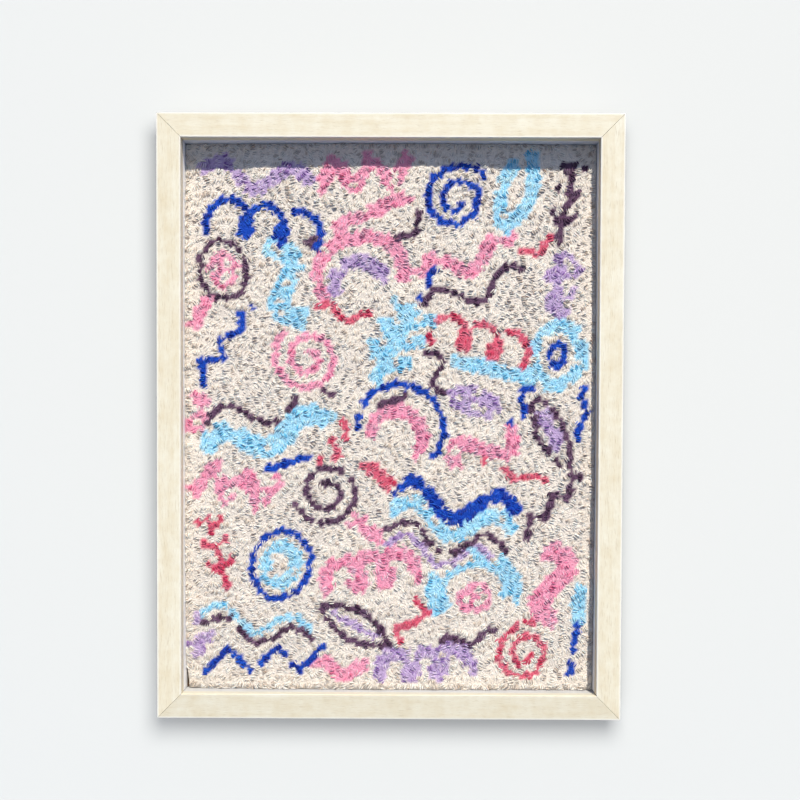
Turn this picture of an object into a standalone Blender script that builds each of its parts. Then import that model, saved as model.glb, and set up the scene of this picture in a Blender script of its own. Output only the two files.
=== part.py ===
"""Punch needle wall piece: a punched pile cloth set in an open box frame of pale wood.

Metres, +Z up. X runs along the frame's width, and the front faces -Y. The origin is on the
wall plane, in the middle of the top rail's back face. Run it in Blender, from the text editor
or with blender --background --python part.py.
"""

import math
import random

import bmesh
import bpy
from mathutils import Vector

# The sight opening, which is what the rails leave in view
SIGHT_WIDTH = 0.300
SIGHT_HEIGHT = 0.400

# The moulding, seen in section: a lip in front of a rebate that opens at the back
FACE_WIDTH = 0.017
RAIL_DEPTH = 0.030
LIP_THICKNESS = 0.007
REBATE_WIDTH = 0.0053
SHOWN_ARRIS_RADIUS = 0.0011
HIDDEN_ARRIS_RADIUS = 0.0005
ARRIS_SEGMENTS = 3
SMOOTH_BELOW = math.radians(35)

# What lies in the rebate
RECESS_DEPTH = 0.0110
PILE_CLOTH_THICKNESS = 0.0065
SPACER_THICKNESS = 0.005
BOARD_THICKNESS = 0.003
SEAT_GAP = 0.0003

# The face of the pile: lumps a little wider than the loops, a rim that rolls back, and corners
# that lie deeper than the middle
LUMP_PITCH = 0.007
LUMP_HEIGHT = 0.0006
RIM_DROP = 0.0011
CORNER_SINK = 0.0028
EDGE_GAP = 0.0013
EDGE_WANDER = 0.0008
# The wander is a mean, a slow wave and a quicker one, which each edge starts somewhere else
WANDER_MEAN, WANDER_SLOW, WANDER_QUICK = 0.5, 0.3, 0.2
SLOW_TURNS, QUICK_TURNS = 5.0, 13.5
EDGE_STARTS = {"left": 1.3, "right": 4.0, "bottom": 2.6, "top": 5.2}
# The left edge leaves a wider gap at the bottom than at the top, and a notch in that corner
LEFT_TAPER = 0.0010
CORNER_NOTCH = 0.0016
CORNER_REACH = 0.016
PILE_SEED = 11

# Where those sizes put things along Y and Z
BACK_WIDTH = FACE_WIDTH - REBATE_WIDTH
FRONT_Y = -RAIL_DEPTH
LIP_BACK_Y = FRONT_Y + LIP_THICKNESS
PILE_FRONT_Y = FRONT_Y + RECESS_DEPTH
CLOTH_BACK_Y = PILE_FRONT_Y + PILE_CLOTH_THICKNESS
BOARD_FRONT_Y = CLOTH_BACK_Y + SEAT_GAP
BOARD_BACK_Y = BOARD_FRONT_Y + BOARD_THICKNESS
SIGHT_TOP_Z = BACK_WIDTH / 2 - FACE_WIDTH
SIGHT_MIDDLE_Z = SIGHT_TOP_Z - SIGHT_HEIGHT / 2

# Name: base colour, roughness
FINISHES = {
    "limed_wood": ((0.90, 0.83, 0.68), 0.55),
    "white_paint": ((0.86, 0.86, 0.85), 0.60),
    "dark_hardboard": ((0.10, 0.06, 0.04), 0.75),
    "punched_yarn": ((0.78, 0.72, 0.61), 0.95),
}


def clear_scene():
    """Removes every object that the file opened with."""
    for item in list(bpy.data.objects):
        bpy.data.objects.remove(item)


def finish(name):
    """The material of that name, made the first time that it is asked for."""
    material = bpy.data.materials.get(name)
    if material is None:
        colour, roughness = FINISHES[name]
        material = bpy.data.materials.new(name)
        material.use_nodes = True
        shader = material.node_tree.nodes["Principled BSDF"]
        shader.inputs["Base Color"].default_value = (*colour, 1.0)
        shader.inputs["Roughness"].default_value = roughness
        shader.inputs["Metallic"].default_value = 0.0
    return material


def add_piece(name, shape, finish_name, location, turn=0.0):
    """Makes one object from a bmesh, with its place and its turn about Y."""
    bmesh.ops.recalc_face_normals(shape, faces=shape.faces)
    mesh = bpy.data.meshes.new(name)
    shape.to_mesh(mesh)
    shape.free()
    mesh.materials.append(finish(finish_name))
    piece = bpy.data.objects.new(name, mesh)
    piece.location = location
    piece.rotation_euler = (0.0, turn, 0.0)
    bpy.context.scene.collection.objects.link(piece)
    return piece


def rail_section(shape):
    """Draws the moulding's section in the plane x = 0, with z counted outwards from the sight edge.

    The corners are rounded: the two front ones a little more than those that are handled less.
    """
    corners = (
        (FRONT_Y, 0.0),
        (FRONT_Y, FACE_WIDTH),
        (0.0, FACE_WIDTH),
        (0.0, REBATE_WIDTH),
        (LIP_BACK_Y, REBATE_WIDTH),
        (LIP_BACK_Y, 0.0),
    )
    points = [shape.verts.new((0.0, y, z)) for y, z in corners]
    shape.faces.new(points)
    for chosen, radius in (
        (points[:2], SHOWN_ARRIS_RADIUS),
        (points[2:3], HIDDEN_ARRIS_RADIUS),
    ):
        bmesh.ops.bevel(
            shape,
            geom=chosen,
            offset=radius,
            segments=ARRIS_SEGMENTS,
            profile=0.5,
            affect="VERTICES",
        )


def add_rail(name, sight_length, location, turn):
    """One mitred rail. It is drawn as the top rail, with its sight edge on z = 0, and then turned."""
    shape = bmesh.new()
    rail_section(shape)
    section = list(shape.faces)
    near = [point for face in section for point in face.verts]
    made = bmesh.ops.extrude_face_region(shape, geom=section)
    far = [item for item in made["geom"] if isinstance(item, bmesh.types.BMVert)]
    # Half of the hairline that shows along each mitre, measured along the rail
    hairline = SEAT_GAP / 2 * math.sqrt(2)
    for point in near:
        point.co.x = -(sight_length / 2 + point.co.z - hairline)
    for point in far:
        point.co.x = sight_length / 2 + point.co.z - hairline
    piece = add_piece(name, shape, "limed_wood", location, turn)
    piece.data.shade_smooth()
    piece.data.set_sharp_from_angle(angle=SMOOTH_BELOW)
    return piece


def add_frame():
    """The four rails, each turned about the frame's middle so that its sight edge faces in."""
    half_width, half_height = SIGHT_WIDTH / 2, SIGHT_HEIGHT / 2
    for name, length, x, z, turn in (
        ("rail_top", SIGHT_WIDTH, 0.0, half_height, 0.0),
        ("rail_right", SIGHT_HEIGHT, half_width, 0.0, math.pi / 2),
        ("rail_bottom", SIGHT_WIDTH, 0.0, -half_height, math.pi),
        ("rail_left", SIGHT_HEIGHT, -half_width, 0.0, -math.pi / 2),
    ):
        add_rail(name, length, (x, 0.0, SIGHT_MIDDLE_Z + z), turn)


def block(low, high):
    """A bmesh box between two corners."""
    shape = bmesh.new()
    bmesh.ops.create_cube(shape, size=1.0)
    low, high = Vector(low), Vector(high)
    for point in shape.verts:
        share = point.co + Vector((0.5, 0.5, 0.5))
        point.co = low + Vector(s * d for s, d in zip(share, high - low))
    return shape


def add_spacers():
    """The white strips that hold the cloth back from the lip: two long ones between two short ones."""
    front, back = LIP_BACK_Y + SEAT_GAP, BOARD_FRONT_Y - SEAT_GAP
    half_width, half_height = SIGHT_WIDTH / 2, SIGHT_HEIGHT / 2
    reach = half_width + SPACER_THICKNESS
    side = half_height - SEAT_GAP
    for name, low_x, high_x, low_z, high_z in (
        ("spacer_top", -reach, reach, half_height, half_height + SPACER_THICKNESS),
        ("spacer_bottom", -reach, reach, -half_height - SPACER_THICKNESS, -half_height),
        ("spacer_left", -reach, -half_width, -side, side),
        ("spacer_right", half_width, reach, -side, side),
    ):
        shape = block((low_x, front, low_z), (high_x, back, high_z))
        add_piece(name, shape, "white_paint", (0.0, 0.0, SIGHT_MIDDLE_Z))


def add_board():
    """The thin dark board behind the cloth, which fills the rebate."""
    side_x = SIGHT_WIDTH / 2 + REBATE_WIDTH - SEAT_GAP
    side_z = SIGHT_HEIGHT / 2 + REBATE_WIDTH - SEAT_GAP
    shape = block((-side_x, BOARD_FRONT_Y, -side_z), (side_x, BOARD_BACK_Y, side_z))
    add_piece("back_board", shape, "dark_hardboard", (0.0, 0.0, SIGHT_MIDDLE_Z))


def edge_inset(along, edge):
    """How far the cloth's edge stands back at a point along it, from -1 to 1 of its length."""
    slow = WANDER_SLOW * math.sin(SLOW_TURNS * along + EDGE_STARTS[edge])
    quick = WANDER_QUICK * math.sin(QUICK_TURNS * along + 2 * EDGE_STARTS[edge])
    return EDGE_WANDER * (WANDER_MEAN + slow + quick)


def shape_outline(point, half_width, half_height):
    """Moves a point of the flat grid so that the edges wander and one lower corner is pulled in."""
    x, z = point.co.x, point.co.z
    along_x, along_z = x / half_width, z / half_height
    inset_x = edge_inset(along_z, "left" if x < 0 else "right")
    if x < 0:
        inset_x += LEFT_TAPER * (1.0 - along_z) / 2
    inset_z = edge_inset(along_x, "bottom" if z < 0 else "top")
    point.co.x -= along_x * inset_x
    point.co.z -= along_z * inset_z
    corner = Vector((x + half_width, z + half_height)).length
    pull = CORNER_NOTCH * max(0.0, 1.0 - corner / CORNER_REACH)
    point.co.x += pull
    point.co.z += pull


def add_cloth():
    """The punched cloth: one slab with a flat back, a lumpy face, a rolled rim and an uneven outline."""
    half_width = SIGHT_WIDTH / 2 - EDGE_GAP
    half_height = SIGHT_HEIGHT / 2 - EDGE_GAP
    columns = round(2 * half_width / LUMP_PITCH)
    rows = round(2 * half_height / LUMP_PITCH)
    shape = bmesh.new()
    bmesh.ops.create_grid(shape, x_segments=columns, y_segments=rows, size=1.0)
    lumps = random.Random(PILE_SEED)
    rim = {point for edge in shape.edges if edge.is_boundary for point in edge.verts}
    for point in shape.verts:
        height = LUMP_HEIGHT * lumps.uniform(-1.0, 1.0)
        height -= CORNER_SINK * (point.co.x * point.co.y) ** 2
        if point in rim:
            height -= RIM_DROP
        point.co = Vector((point.co.x * half_width, -height, point.co.y * half_height))
        shape_outline(point, half_width, half_height)
    edges = [edge for edge in shape.edges if edge.is_boundary]
    made = bmesh.ops.extrude_edge_only(shape, edges=edges)["geom"]
    for point in made:
        if isinstance(point, bmesh.types.BMVert):
            point.co.y = PILE_CLOTH_THICKNESS
    back = [edge for edge in made if isinstance(edge, bmesh.types.BMEdge)]
    bmesh.ops.edgeloop_fill(shape, edges=[edge for edge in back if edge.is_boundary])
    add_piece("punched_cloth", shape, "punched_yarn", (0.0, PILE_FRONT_Y, SIGHT_MIDDLE_Z))


def main():
    """Builds the piece, from the frame inwards."""
    clear_scene()
    add_frame()
    add_spacers()
    add_board()
    add_cloth()


main()
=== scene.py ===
"""A framed punch needle wall piece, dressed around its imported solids.

The cloth is punched with plied wool yarn: every loop of the pile is an arch of slack yarn that
stands on a woven ground. It lies on a dark board in a box frame of pale limed wood, held back from
the frame's lip by white strips. Lengths are in metres, and X runs to the right, Z up and -Y to the
front. The pattern on the cloth is a plain one of waves, rings, spirals and leaves.
"""

import logging
import math
from collections.abc import Callable, Iterable, Sequence
from dataclasses import dataclass, field
from enum import Enum

import bmesh
import bpy
import numpy as np
from mathutils import Matrix, Vector, kdtree


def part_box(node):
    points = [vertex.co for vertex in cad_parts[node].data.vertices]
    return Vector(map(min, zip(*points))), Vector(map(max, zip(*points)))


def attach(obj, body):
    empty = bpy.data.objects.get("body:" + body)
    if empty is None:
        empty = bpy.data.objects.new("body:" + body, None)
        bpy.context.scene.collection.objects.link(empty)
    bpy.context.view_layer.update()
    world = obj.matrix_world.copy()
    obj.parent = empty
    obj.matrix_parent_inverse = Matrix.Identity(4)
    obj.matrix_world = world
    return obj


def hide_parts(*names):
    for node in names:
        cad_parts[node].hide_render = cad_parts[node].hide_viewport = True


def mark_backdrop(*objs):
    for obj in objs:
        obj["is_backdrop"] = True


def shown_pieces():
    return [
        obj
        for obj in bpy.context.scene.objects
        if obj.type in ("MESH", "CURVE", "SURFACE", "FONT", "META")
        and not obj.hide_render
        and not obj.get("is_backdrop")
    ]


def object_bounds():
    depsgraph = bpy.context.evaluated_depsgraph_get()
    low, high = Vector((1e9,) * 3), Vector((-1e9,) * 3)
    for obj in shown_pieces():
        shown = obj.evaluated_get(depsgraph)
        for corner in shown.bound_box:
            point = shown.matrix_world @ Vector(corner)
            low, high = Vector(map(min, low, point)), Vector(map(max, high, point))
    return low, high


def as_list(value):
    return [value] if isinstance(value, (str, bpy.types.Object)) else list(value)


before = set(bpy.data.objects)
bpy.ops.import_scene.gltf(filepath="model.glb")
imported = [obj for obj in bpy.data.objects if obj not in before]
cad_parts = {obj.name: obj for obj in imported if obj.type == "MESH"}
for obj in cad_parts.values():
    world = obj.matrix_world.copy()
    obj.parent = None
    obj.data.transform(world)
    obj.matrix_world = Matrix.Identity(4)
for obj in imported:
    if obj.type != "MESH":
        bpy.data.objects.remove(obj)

LOG = logging.getLogger("wall_piece")
CAD_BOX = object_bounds()
BODY = "root"
MM = 0.001

Colour = tuple[float, float, float]
Span = tuple[float, float]
Points = np.ndarray


class Slot(Enum):
    """The record's material slots."""

    WOOD = "limed_wood"
    PAINT = "white_paint"
    BOARD = "dark_hardboard"
    YARN = "punched_yarn"


class Side(Enum):
    """The four sides of the frame, each with the turn about Y that brings the top rail to it."""

    TOP = 0
    RIGHT = 90
    BOTTOM = 180
    LEFT = 270

    @property
    def upright(self) -> bool:
        """Whether this side runs up and down."""
        return self in (Side.LEFT, Side.RIGHT)

    def node(self, kind: str) -> str:
        """The name of the solid of that kind on this side."""
        return f"{kind}_{self.name.lower()}"


def from_srgb(red: float, green: float, blue: float) -> Colour:
    """Turns a colour of 0 to 255, as a screen shows it, into the linear one that a shader takes.

    Args:
        red: The red part.
        green: The green part.
        blue: The blue part.

    Returns:
        The three linear parts, from 0 to 1.
    """
    parts = []
    for part in (red, green, blue):
        share = part / 255
        parts.append(share / 12.92 if share <= 0.04045 else ((share + 0.055) / 1.055) ** 2.4)
    return tuple(parts)


class Wire:
    """A number that comes out of a node, so that shader maths reads as an expression."""

    def __init__(self, shader: "Shader", socket: bpy.types.NodeSocket) -> None:
        """Wraps a socket.

        Args:
            shader: The shader whose tree the socket is in.
            socket: The output that carries the number.
        """
        self.shader = shader
        self.socket = socket

    def __add__(self, other: "Wire | float") -> "Wire":
        """The sum."""
        return self.shader.maths("ADD", self, other)

    def __sub__(self, other: "Wire | float") -> "Wire":
        """The difference."""
        return self.shader.maths("SUBTRACT", self, other)

    def __rsub__(self, other: float) -> "Wire":
        """The difference, with the plain number first."""
        return self.shader.maths("SUBTRACT", other, self)

    def __rtruediv__(self, other: float) -> "Wire":
        """The quotient, with the plain number first."""
        return self.shader.maths("DIVIDE", other, self)

    def __mul__(self, other: "Wire | float") -> "Wire":
        """The product."""
        return self.shader.maths("MULTIPLY", self, other)

    def __truediv__(self, other: "Wire | float") -> "Wire":
        """The quotient."""
        return self.shader.maths("DIVIDE", self, other)

    __radd__ = __add__
    __rmul__ = __mul__


class Shader:
    """A material that is built around one Principled shader."""

    def __init__(self, name: str, roughness: float, **fixed: float | Sequence[float]) -> None:
        """Makes the material.

        Args:
            name: The material's name.
            roughness: The roughness all over, unless a wire replaces it.
            fixed: Values of other sockets that are the same all over, with _ for a space.
        """
        self.material = bpy.data.materials.new(name)
        self.material.use_nodes = True
        self.tree = self.material.node_tree
        self.principled = self.tree.nodes["Principled BSDF"]
        self.principled.inputs["Roughness"].default_value = roughness
        for socket, value in fixed.items():
            self.principled.inputs[socket.replace("_", " ")].default_value = value

    def node(self, kind: str, settings: dict | None = None, sockets: dict | None = None) -> bpy.types.Node:
        """Adds a node.

        Args:
            kind: The node's type, such as ShaderNodeTexNoise.
            settings: The node's own settings, set before its sockets.
            sockets: A value, a socket or a wire for each input, by its name or number.

        Returns:
            The new node.
        """
        made = self.tree.nodes.new(kind)
        for key, value in (settings or {}).items():
            setattr(made, key, value)
        for key, value in (sockets or {}).items():
            self.feed(made.inputs[key], value)
        return made

    def feed(self, target: bpy.types.NodeSocket, value: object) -> None:
        """Links a wire or a socket to an input, or sets a plain value on it.

        Args:
            target: The input.
            value: A wire, a socket, a number, a vector or a colour.
        """
        if isinstance(value, Wire):
            value = value.socket
        if isinstance(value, bpy.types.NodeSocket):
            self.tree.links.new(value, target)
        elif hasattr(target.default_value, "__len__") and len(target.default_value) == 4:
            target.default_value = (*value, 1.0)
        else:
            target.default_value = value

    def maths(self, operation: str, *values: Wire | float) -> Wire:
        """Adds a Math node on numbers."""
        made = self.node("ShaderNodeMath", {"operation": operation}, dict(enumerate(values)))
        return Wire(self, made.outputs[0])

    def part(self, vector: object, letter: str) -> Wire:
        """One of the three numbers of a vector, by its letter."""
        return Wire(self, self.node("ShaderNodeSeparateXYZ", {}, {0: vector}).outputs[letter])

    def attribute(self, name: str, output: str) -> bpy.types.NodeSocket:
        """What an attribute of the mesh holds, as the number Fac or as the colour Color."""
        return self.node("ShaderNodeAttribute", {"attribute_name": name}).outputs[output]

    def place(self, scale: Sequence[float], shift: Sequence[float] = (0, 0, 0)) -> bpy.types.NodeSocket:
        """Gives coordinates in the piece's own space.

        Args:
            scale: How much they are stretched along each axis.
            shift: How far they are moved after that.

        Returns:
            The socket that carries them.
        """
        source = self.node("ShaderNodeTexCoord").outputs["Object"]
        sockets = {"Vector": source, "Location": shift, "Scale": scale}
        return self.node("ShaderNodeMapping", {}, sockets).outputs[0]

    def noise(self, vector: object, scale: float, detail: float = 2.0, rough: float = 0.5) -> Wire:
        """A noise of about 0 to 1 over those coordinates."""
        sockets = {"Vector": vector, "Scale": scale, "Detail": detail, "Roughness": rough}
        return Wire(self, self.node("ShaderNodeTexNoise", {}, sockets).outputs["Fac"])

    def span(self, value: Wire, low: float, high: float) -> Wire:
        """Brings what lies between low and high to 0 to 1, and clips the rest."""
        sockets = {"Value": value, "From Min": low, "From Max": high}
        return Wire(self, self.node("ShaderNodeMapRange", {"clamp": True}, sockets).outputs[0])

    def mix(self, share: Wire | float, first: object, second: object) -> bpy.types.NodeSocket:
        """Mixes two colours.

        Args:
            share: How much of the second one is taken, from 0 to 1.
            first: A colour, or a socket that carries one.
            second: The other.

        Returns:
            The socket of the mixed colour.
        """
        made = self.node("ShaderNodeMix", {"data_type": "RGBA"})
        self.feed(made.inputs["Factor"], share)
        self.feed(next(s for s in made.inputs if s.name == "A" and s.type == "RGBA"), first)
        self.feed(next(s for s in made.inputs if s.name == "B" and s.type == "RGBA"), second)
        return next(s for s in made.outputs if s.type == "RGBA")

    def scaled(self, colour: object, share: Wire | float) -> bpy.types.NodeSocket:
        """Multiplies a colour by a number, so that it is lighter or darker."""
        sockets = {0: colour, "Scale": share}
        return self.node("ShaderNodeVectorMath", {"operation": "SCALE"}, sockets).outputs[0]

    def bump(self, height: Wire, distance: float) -> None:
        """Raises the surface.

        Args:
            height: How high it is at each place, from 0 to 1.
            distance: How high 1 is, in metres.
        """
        sockets = {"Height": height, "Distance": distance, "Strength": 1.0}
        normal = self.node("ShaderNodeBump", {}, sockets).outputs[0]
        self.tree.links.new(normal, self.principled.inputs["Normal"])

    def colour(self, value: object) -> None:
        """Sets the base colour."""
        self.feed(self.principled.inputs["Base Color"], value)

    def rough(self, value: Wire) -> None:
        """Sets a roughness that varies."""
        self.feed(self.principled.inputs["Roughness"], value)


@dataclass(frozen=True)
class LimedWood:
    """Pale hardwood with white wax left in its pores. The grain runs along the rail.

    A span is the part of a noise that is drawn out to go from nothing to all. The rounded edges get a
    painted highlight, and each rail and its sight edge get painted light and shade of their own.
    """

    pale: Colour = from_srgb(245, 240, 218)
    warm: Colour = from_srgb(230, 217, 184)
    pore: Colour = from_srgb(204, 187, 152)
    # Painted highlight on the rounded edges: its colour
    edge_highlight: Colour = from_srgb(255, 254, 244)
    streak_length: float = 0.07
    streak_width: float = 0.0050
    streak_share: float = 0.45
    cloud: float = 0.011
    pore_length: float = 0.006
    pore_width: float = 0.0005
    pore_share: float = 0.45
    # The band of the rounded edges, which holds the painted highlight and sets where the sight edge
    # begins, and the highlight's strength
    arris_band: float = 0.0014
    highlight_share: float = 0.85
    roughness: float = 0.5
    relief: float = 0.00008
    pattern_step: float = 0.017
    streak_span: Span = (0.38, 0.66)
    cloud_span: Span = (0.35, 0.7)
    pore_span: Span = (0.56, 0.72)

    # How light each rail is: the wood's tone, with painted shade that makes the bottom rail darker
    TONE_AND_PAINTED_LIGHT = {Side.TOP: 0.935, Side.RIGHT: 0.94, Side.BOTTOM: 0.845, Side.LEFT: 0.935}
    # Bare wood on the edge that faces the cloth, with painted light on the top rail's, which lies in
    # shade, and painted shade on the bottom rail's, which faces the sun; then how much of the painted edge
    # highlight that edge is spared
    SIGHT_EDGE_TONE_AND_LIGHT = {
        Side.TOP: from_srgb(249, 241, 203),
        Side.RIGHT: from_srgb(218, 204, 174),
        Side.BOTTOM: from_srgb(204, 199, 181),
        Side.LEFT: from_srgb(228, 216, 191),
    }
    HIGHLIGHT_SPARED = {Side.TOP: 0.0, Side.RIGHT: 0.0, Side.BOTTOM: 0.8, Side.LEFT: 0.3}

    def material(self, side: Side, front: float, inner: float, outer: float) -> bpy.types.Material:
        """Makes the finish of one rail, each with its own tone.

        Args:
            side: The side that the rail is on, which sets the way of its grain.
            front: The place of its face along Y.
            inner: The place of its sight edge, along X or Z.
            outer: The place of its outer edge.

        Returns:
            The material.
        """
        shader = Shader(f"limed_wood_{side.name.lower()}", self.roughness, Specular_IOR_Level=0.35)
        shift = [side.value * self.pattern_step] * 3
        streaks = shader.place(self.stretch(side, self.streak_length, self.streak_width), shift)
        pores = shader.place(self.stretch(side, self.pore_length, self.pore_width), shift)
        clouds = shader.place([1 / self.cloud] * 3, shift)
        broad = shader.span(shader.noise(streaks, 1.0, 5.0, 0.62), *self.streak_span)
        cloudy = shader.span(shader.noise(clouds, 1.0, 4.0, 0.65), *self.cloud_span)
        dashes = shader.span(shader.noise(pores, 1.0, 2.0), *self.pore_span)
        warmth = broad * self.streak_share + cloudy * (1 - self.streak_share)
        grained = shader.mix(dashes * self.pore_share, shader.mix(warmth, self.pale, self.warm), self.pore)
        here = shader.place((1, 1, 1))
        across = shader.part(here, "X" if side.upright else "Z")
        behind = shader.span(shader.part(here, "Y"), front + self.arris_band, front + 2 * self.arris_band)
        width = abs(outer - inner)
        off_middle = shader.maths("ABSOLUTE", across - (inner + outer) / 2)
        # Painted highlight: a pale band along the front's rounded edges, partly spared on some sight edges
        highlight_mask = shader.span(off_middle, width / 2 - self.arris_band, width / 2) * (1.0 - behind)
        off_outer = shader.maths("ABSOLUTE", across - outer)
        inwards = shader.span(off_outer, width - self.arris_band, width)
        # Painted light and shade on the sight edge: lighter on the top rail, darker on the bottom one
        sided = shader.mix(behind * inwards, grained, self.SIGHT_EDGE_TONE_AND_LIGHT[side])
        highlighted = shader.mix(highlight_mask * (self.highlight_share - inwards * self.HIGHLIGHT_SPARED[side]), sided, self.edge_highlight)
        # Painted shade: each rail is scaled by its side's tone, the bottom one darkest
        shader.colour(shader.scaled(highlighted, self.TONE_AND_PAINTED_LIGHT[side]))
        shader.rough(self.roughness + broad * 0.12)
        shader.bump(broad * 0.25 - dashes * 0.6, self.relief)
        return shader.material

    @staticmethod
    def stretch(side: Side, length: float, width: float) -> tuple[float, float, float]:
        """Gives the scale of a noise that is drawn out along a side.

        Args:
            side: The side.
            length: How long its patches are along the side.
            width: How wide they are across it.

        Returns:
            The scale along X, Y and Z.
        """
        along, across = 1 / length, 1 / width
        return (across, across, along) if side.upright else (along, across, across)


@dataclass(frozen=True)
class WhitePaint:
    """Matt white paint, brushed along a thin strip of wood."""

    coat: Colour = from_srgb(250, 250, 249)
    thin: Colour = from_srgb(236, 233, 226)
    brush_length: float = 0.03
    brush_width: float = 0.0012
    patch: float = 0.025
    thin_span: Span = (0.22, 0.5)
    roughness: float = 0.62
    relief: float = 0.00008

    # Painted light and shade on each strip: the sunlit bottom one is drawn much darker and the left one
    # lighter
    TONE_AND_PAINTED_LIGHT = {Side.TOP: 1.0, Side.RIGHT: 0.86, Side.BOTTOM: 0.47, Side.LEFT: 1.04}

    def material(self, side: Side) -> bpy.types.Material:
        """Makes the paint of one strip.

        Args:
            side: The side that the strip is on.

        Returns:
            The material.
        """
        shader = Shader(f"white_paint_{side.name.lower()}", self.roughness)
        brush = LimedWood.stretch(side, self.brush_length, self.brush_width)
        brushed = shader.noise(shader.place(brush), 1.0, 3.0, 0.6)
        patchy = shader.noise(shader.place([1 / self.patch] * 3), 1.0, 2.0)
        coated = shader.mix(shader.span(brushed * patchy, *self.thin_span), self.coat, self.thin)
        # Painted light and shade: each strip is scaled by its side's value
        shader.colour(shader.scaled(coated, self.TONE_AND_PAINTED_LIGHT[side]))
        shader.bump(brushed, self.relief)
        return shader.material


@dataclass(frozen=True)
class Hardboard:
    """Pressed wood fibre, dark brown, with the print of the press's mesh on its rough side."""

    dark: Colour = from_srgb(62, 42, 30)
    light: Colour = from_srgb(108, 78, 56)
    mesh_pitch: float = 0.0016
    fine: float = 900.0
    coarse: float = 260.0
    clouds: float = 18.0
    mottle_span: Span = (0.36, 0.64)
    roughness: float = 0.8
    relief: float = 0.0002

    def material(self) -> bpy.types.Material:
        """Makes the board's finish.

        Returns:
            The material.
        """
        shader = Shader("dark_hardboard", self.roughness, Specular_IOR_Level=0.3)
        level = shader.place((self.coarse, self.coarse, self.fine))
        upright = shader.place((self.fine, self.coarse, self.coarse), (3, 1, 2))
        fibres = shader.noise(level, 1.0, 4.0, 0.7)
        crossed = shader.noise(upright, 1.0, 4.0, 0.7)
        clouds = shader.noise(shader.place([self.clouds] * 3), 1.0, 3.0)
        wave = 2 * math.pi / self.mesh_pitch
        here = shader.place((1, 1, 1))
        ribs = [shader.maths("SINE", shader.part(here, axis) * wave) * 0.5 + 0.5 for axis in ("X", "Z")]
        mottle = shader.span(fibres * 0.4 + crossed * 0.3 + clouds * 0.3, *self.mottle_span)
        shader.colour(shader.mix(mottle, self.dark, self.light))
        shader.bump(ribs[0] * ribs[1] * 0.7 + fibres * 0.5, self.relief)
        return shader.material


@dataclass(frozen=True)
class GroundCloth:
    """The even cotton weave that the yarn is punched through."""

    thread: Colour = from_srgb(206, 196, 178)
    gap: Colour = from_srgb(128, 116, 98)
    thread_pitch: float = 0.0021
    slubs: float = 900.0
    thread_span: Span = (0.1, 0.7)
    roughness: float = 0.9
    relief: float = 0.0005

    def material(self) -> bpy.types.Material:
        """Makes the weave, from its own coordinates across and up the cloth.

        Returns:
            The material.
        """
        shader = Shader("ground_cloth", self.roughness)
        here = shader.place((1, 1, 1))
        turn = math.pi / self.thread_pitch
        across = shader.maths("SINE", shader.part(here, "X") * turn)
        up = shader.maths("SINE", shader.part(here, "Z") * turn)
        woven = shader.maths("ABSOLUTE", across * up)
        slubs = shader.noise(shader.place([self.slubs] * 3), 1.0, 2.0)
        raised = shader.span(woven + slubs * 0.3, *self.thread_span)
        shader.colour(shader.mix(raised, self.gap, self.thread))
        shader.bump(woven + slubs * 0.2, self.relief)
        return shader.material


class Yarn(Enum):
    """The yarns, by the name that their pieces carry."""

    OATMEAL = "oatmeal"
    PINK = "pink"
    ROSE = "rose"
    COBALT = "cobalt"
    SKY = "sky"
    LAVENDER = "lavender"
    PLUM = "plum"


@dataclass(frozen=True)
class YarnDye:
    """How a plied wool yarn is dyed: unevenly, between two colours.

    A ply lies somewhere between the two: about the middle, with a spread from loop to loop and a
    spread from ply to ply. Each ply is also given painted shade on its flanks.
    """

    main: Colour
    other: Colour
    middle: float
    loop_spread: float
    ply_spread: float
    fleck_share: float = 0.5
    sheen: float = 0.25
    light_reach: float = 0.0004
    flank_shade: float = 0.60
    ridge_span: Span = (0.33, 0.9)
    fleck_scale: tuple[float, float, float] = (3.0, 5.0, 1.0)
    fibre_scale: tuple[float, float, float] = (8.0, 30.0, 1.0)
    roughness: float = 0.95
    relief: float = 0.00025

    def material(self, yarn: Yarn) -> bpy.types.Material:
        """Makes the yarn's finish. Its coordinates run along the plies and round them.

        Args:
            yarn: The yarn, which names the material.

        Returns:
            The material.
        """
        shader = Shader(
            f"yarn_{yarn.value}",
            self.roughness,
            Sheen_Weight=self.sheen,
            Sheen_Roughness=0.5,
            Specular_IOR_Level=0.15,
            Subsurface_Weight=1.0,
            Subsurface_Scale=self.light_reach,
            Subsurface_Radius=(1.0, 0.9, 0.8),
        )
        along = shader.node("ShaderNodeUVMap", {"uv_map": LoopField.UV_NAME}).outputs[0]
        fade = Wire(shader, shader.attribute(LoopField.FADE_NAME, "Fac"))
        coarse = shader.node("ShaderNodeMapping", {}, {"Vector": along, "Scale": self.fleck_scale})
        fine = shader.node("ShaderNodeMapping", {}, {"Vector": along, "Scale": self.fibre_scale})
        flecks = shader.noise(coarse.outputs[0], 1.0, 3.0, 0.65)
        fibres = shader.noise(fine.outputs[0], 1.0, 2.0, 0.6)
        uneven = (flecks - 0.5) * self.fleck_share * 2 + (fibres - 0.5) * 0.5
        dyed = shader.mix(shader.span(fade + uneven, 0.0, 1.0), self.main, self.other)
        # Painted shade: a ply is drawn lightest on its ridge, which is the seam of its coordinates, and
        # darker on its flanks, where the next ply shades it
        off_back = shader.maths("ABSOLUTE", shader.part(along, "Y") * 2.0 - 1.0)
        ridge = shader.span(off_back, *self.ridge_span)
        shader.colour(shader.scaled(dyed, ridge * self.flank_shade + (1 - self.flank_shade)))
        shader.bump(fibres + flecks * 0.5, self.relief)
        return shader.material


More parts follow.
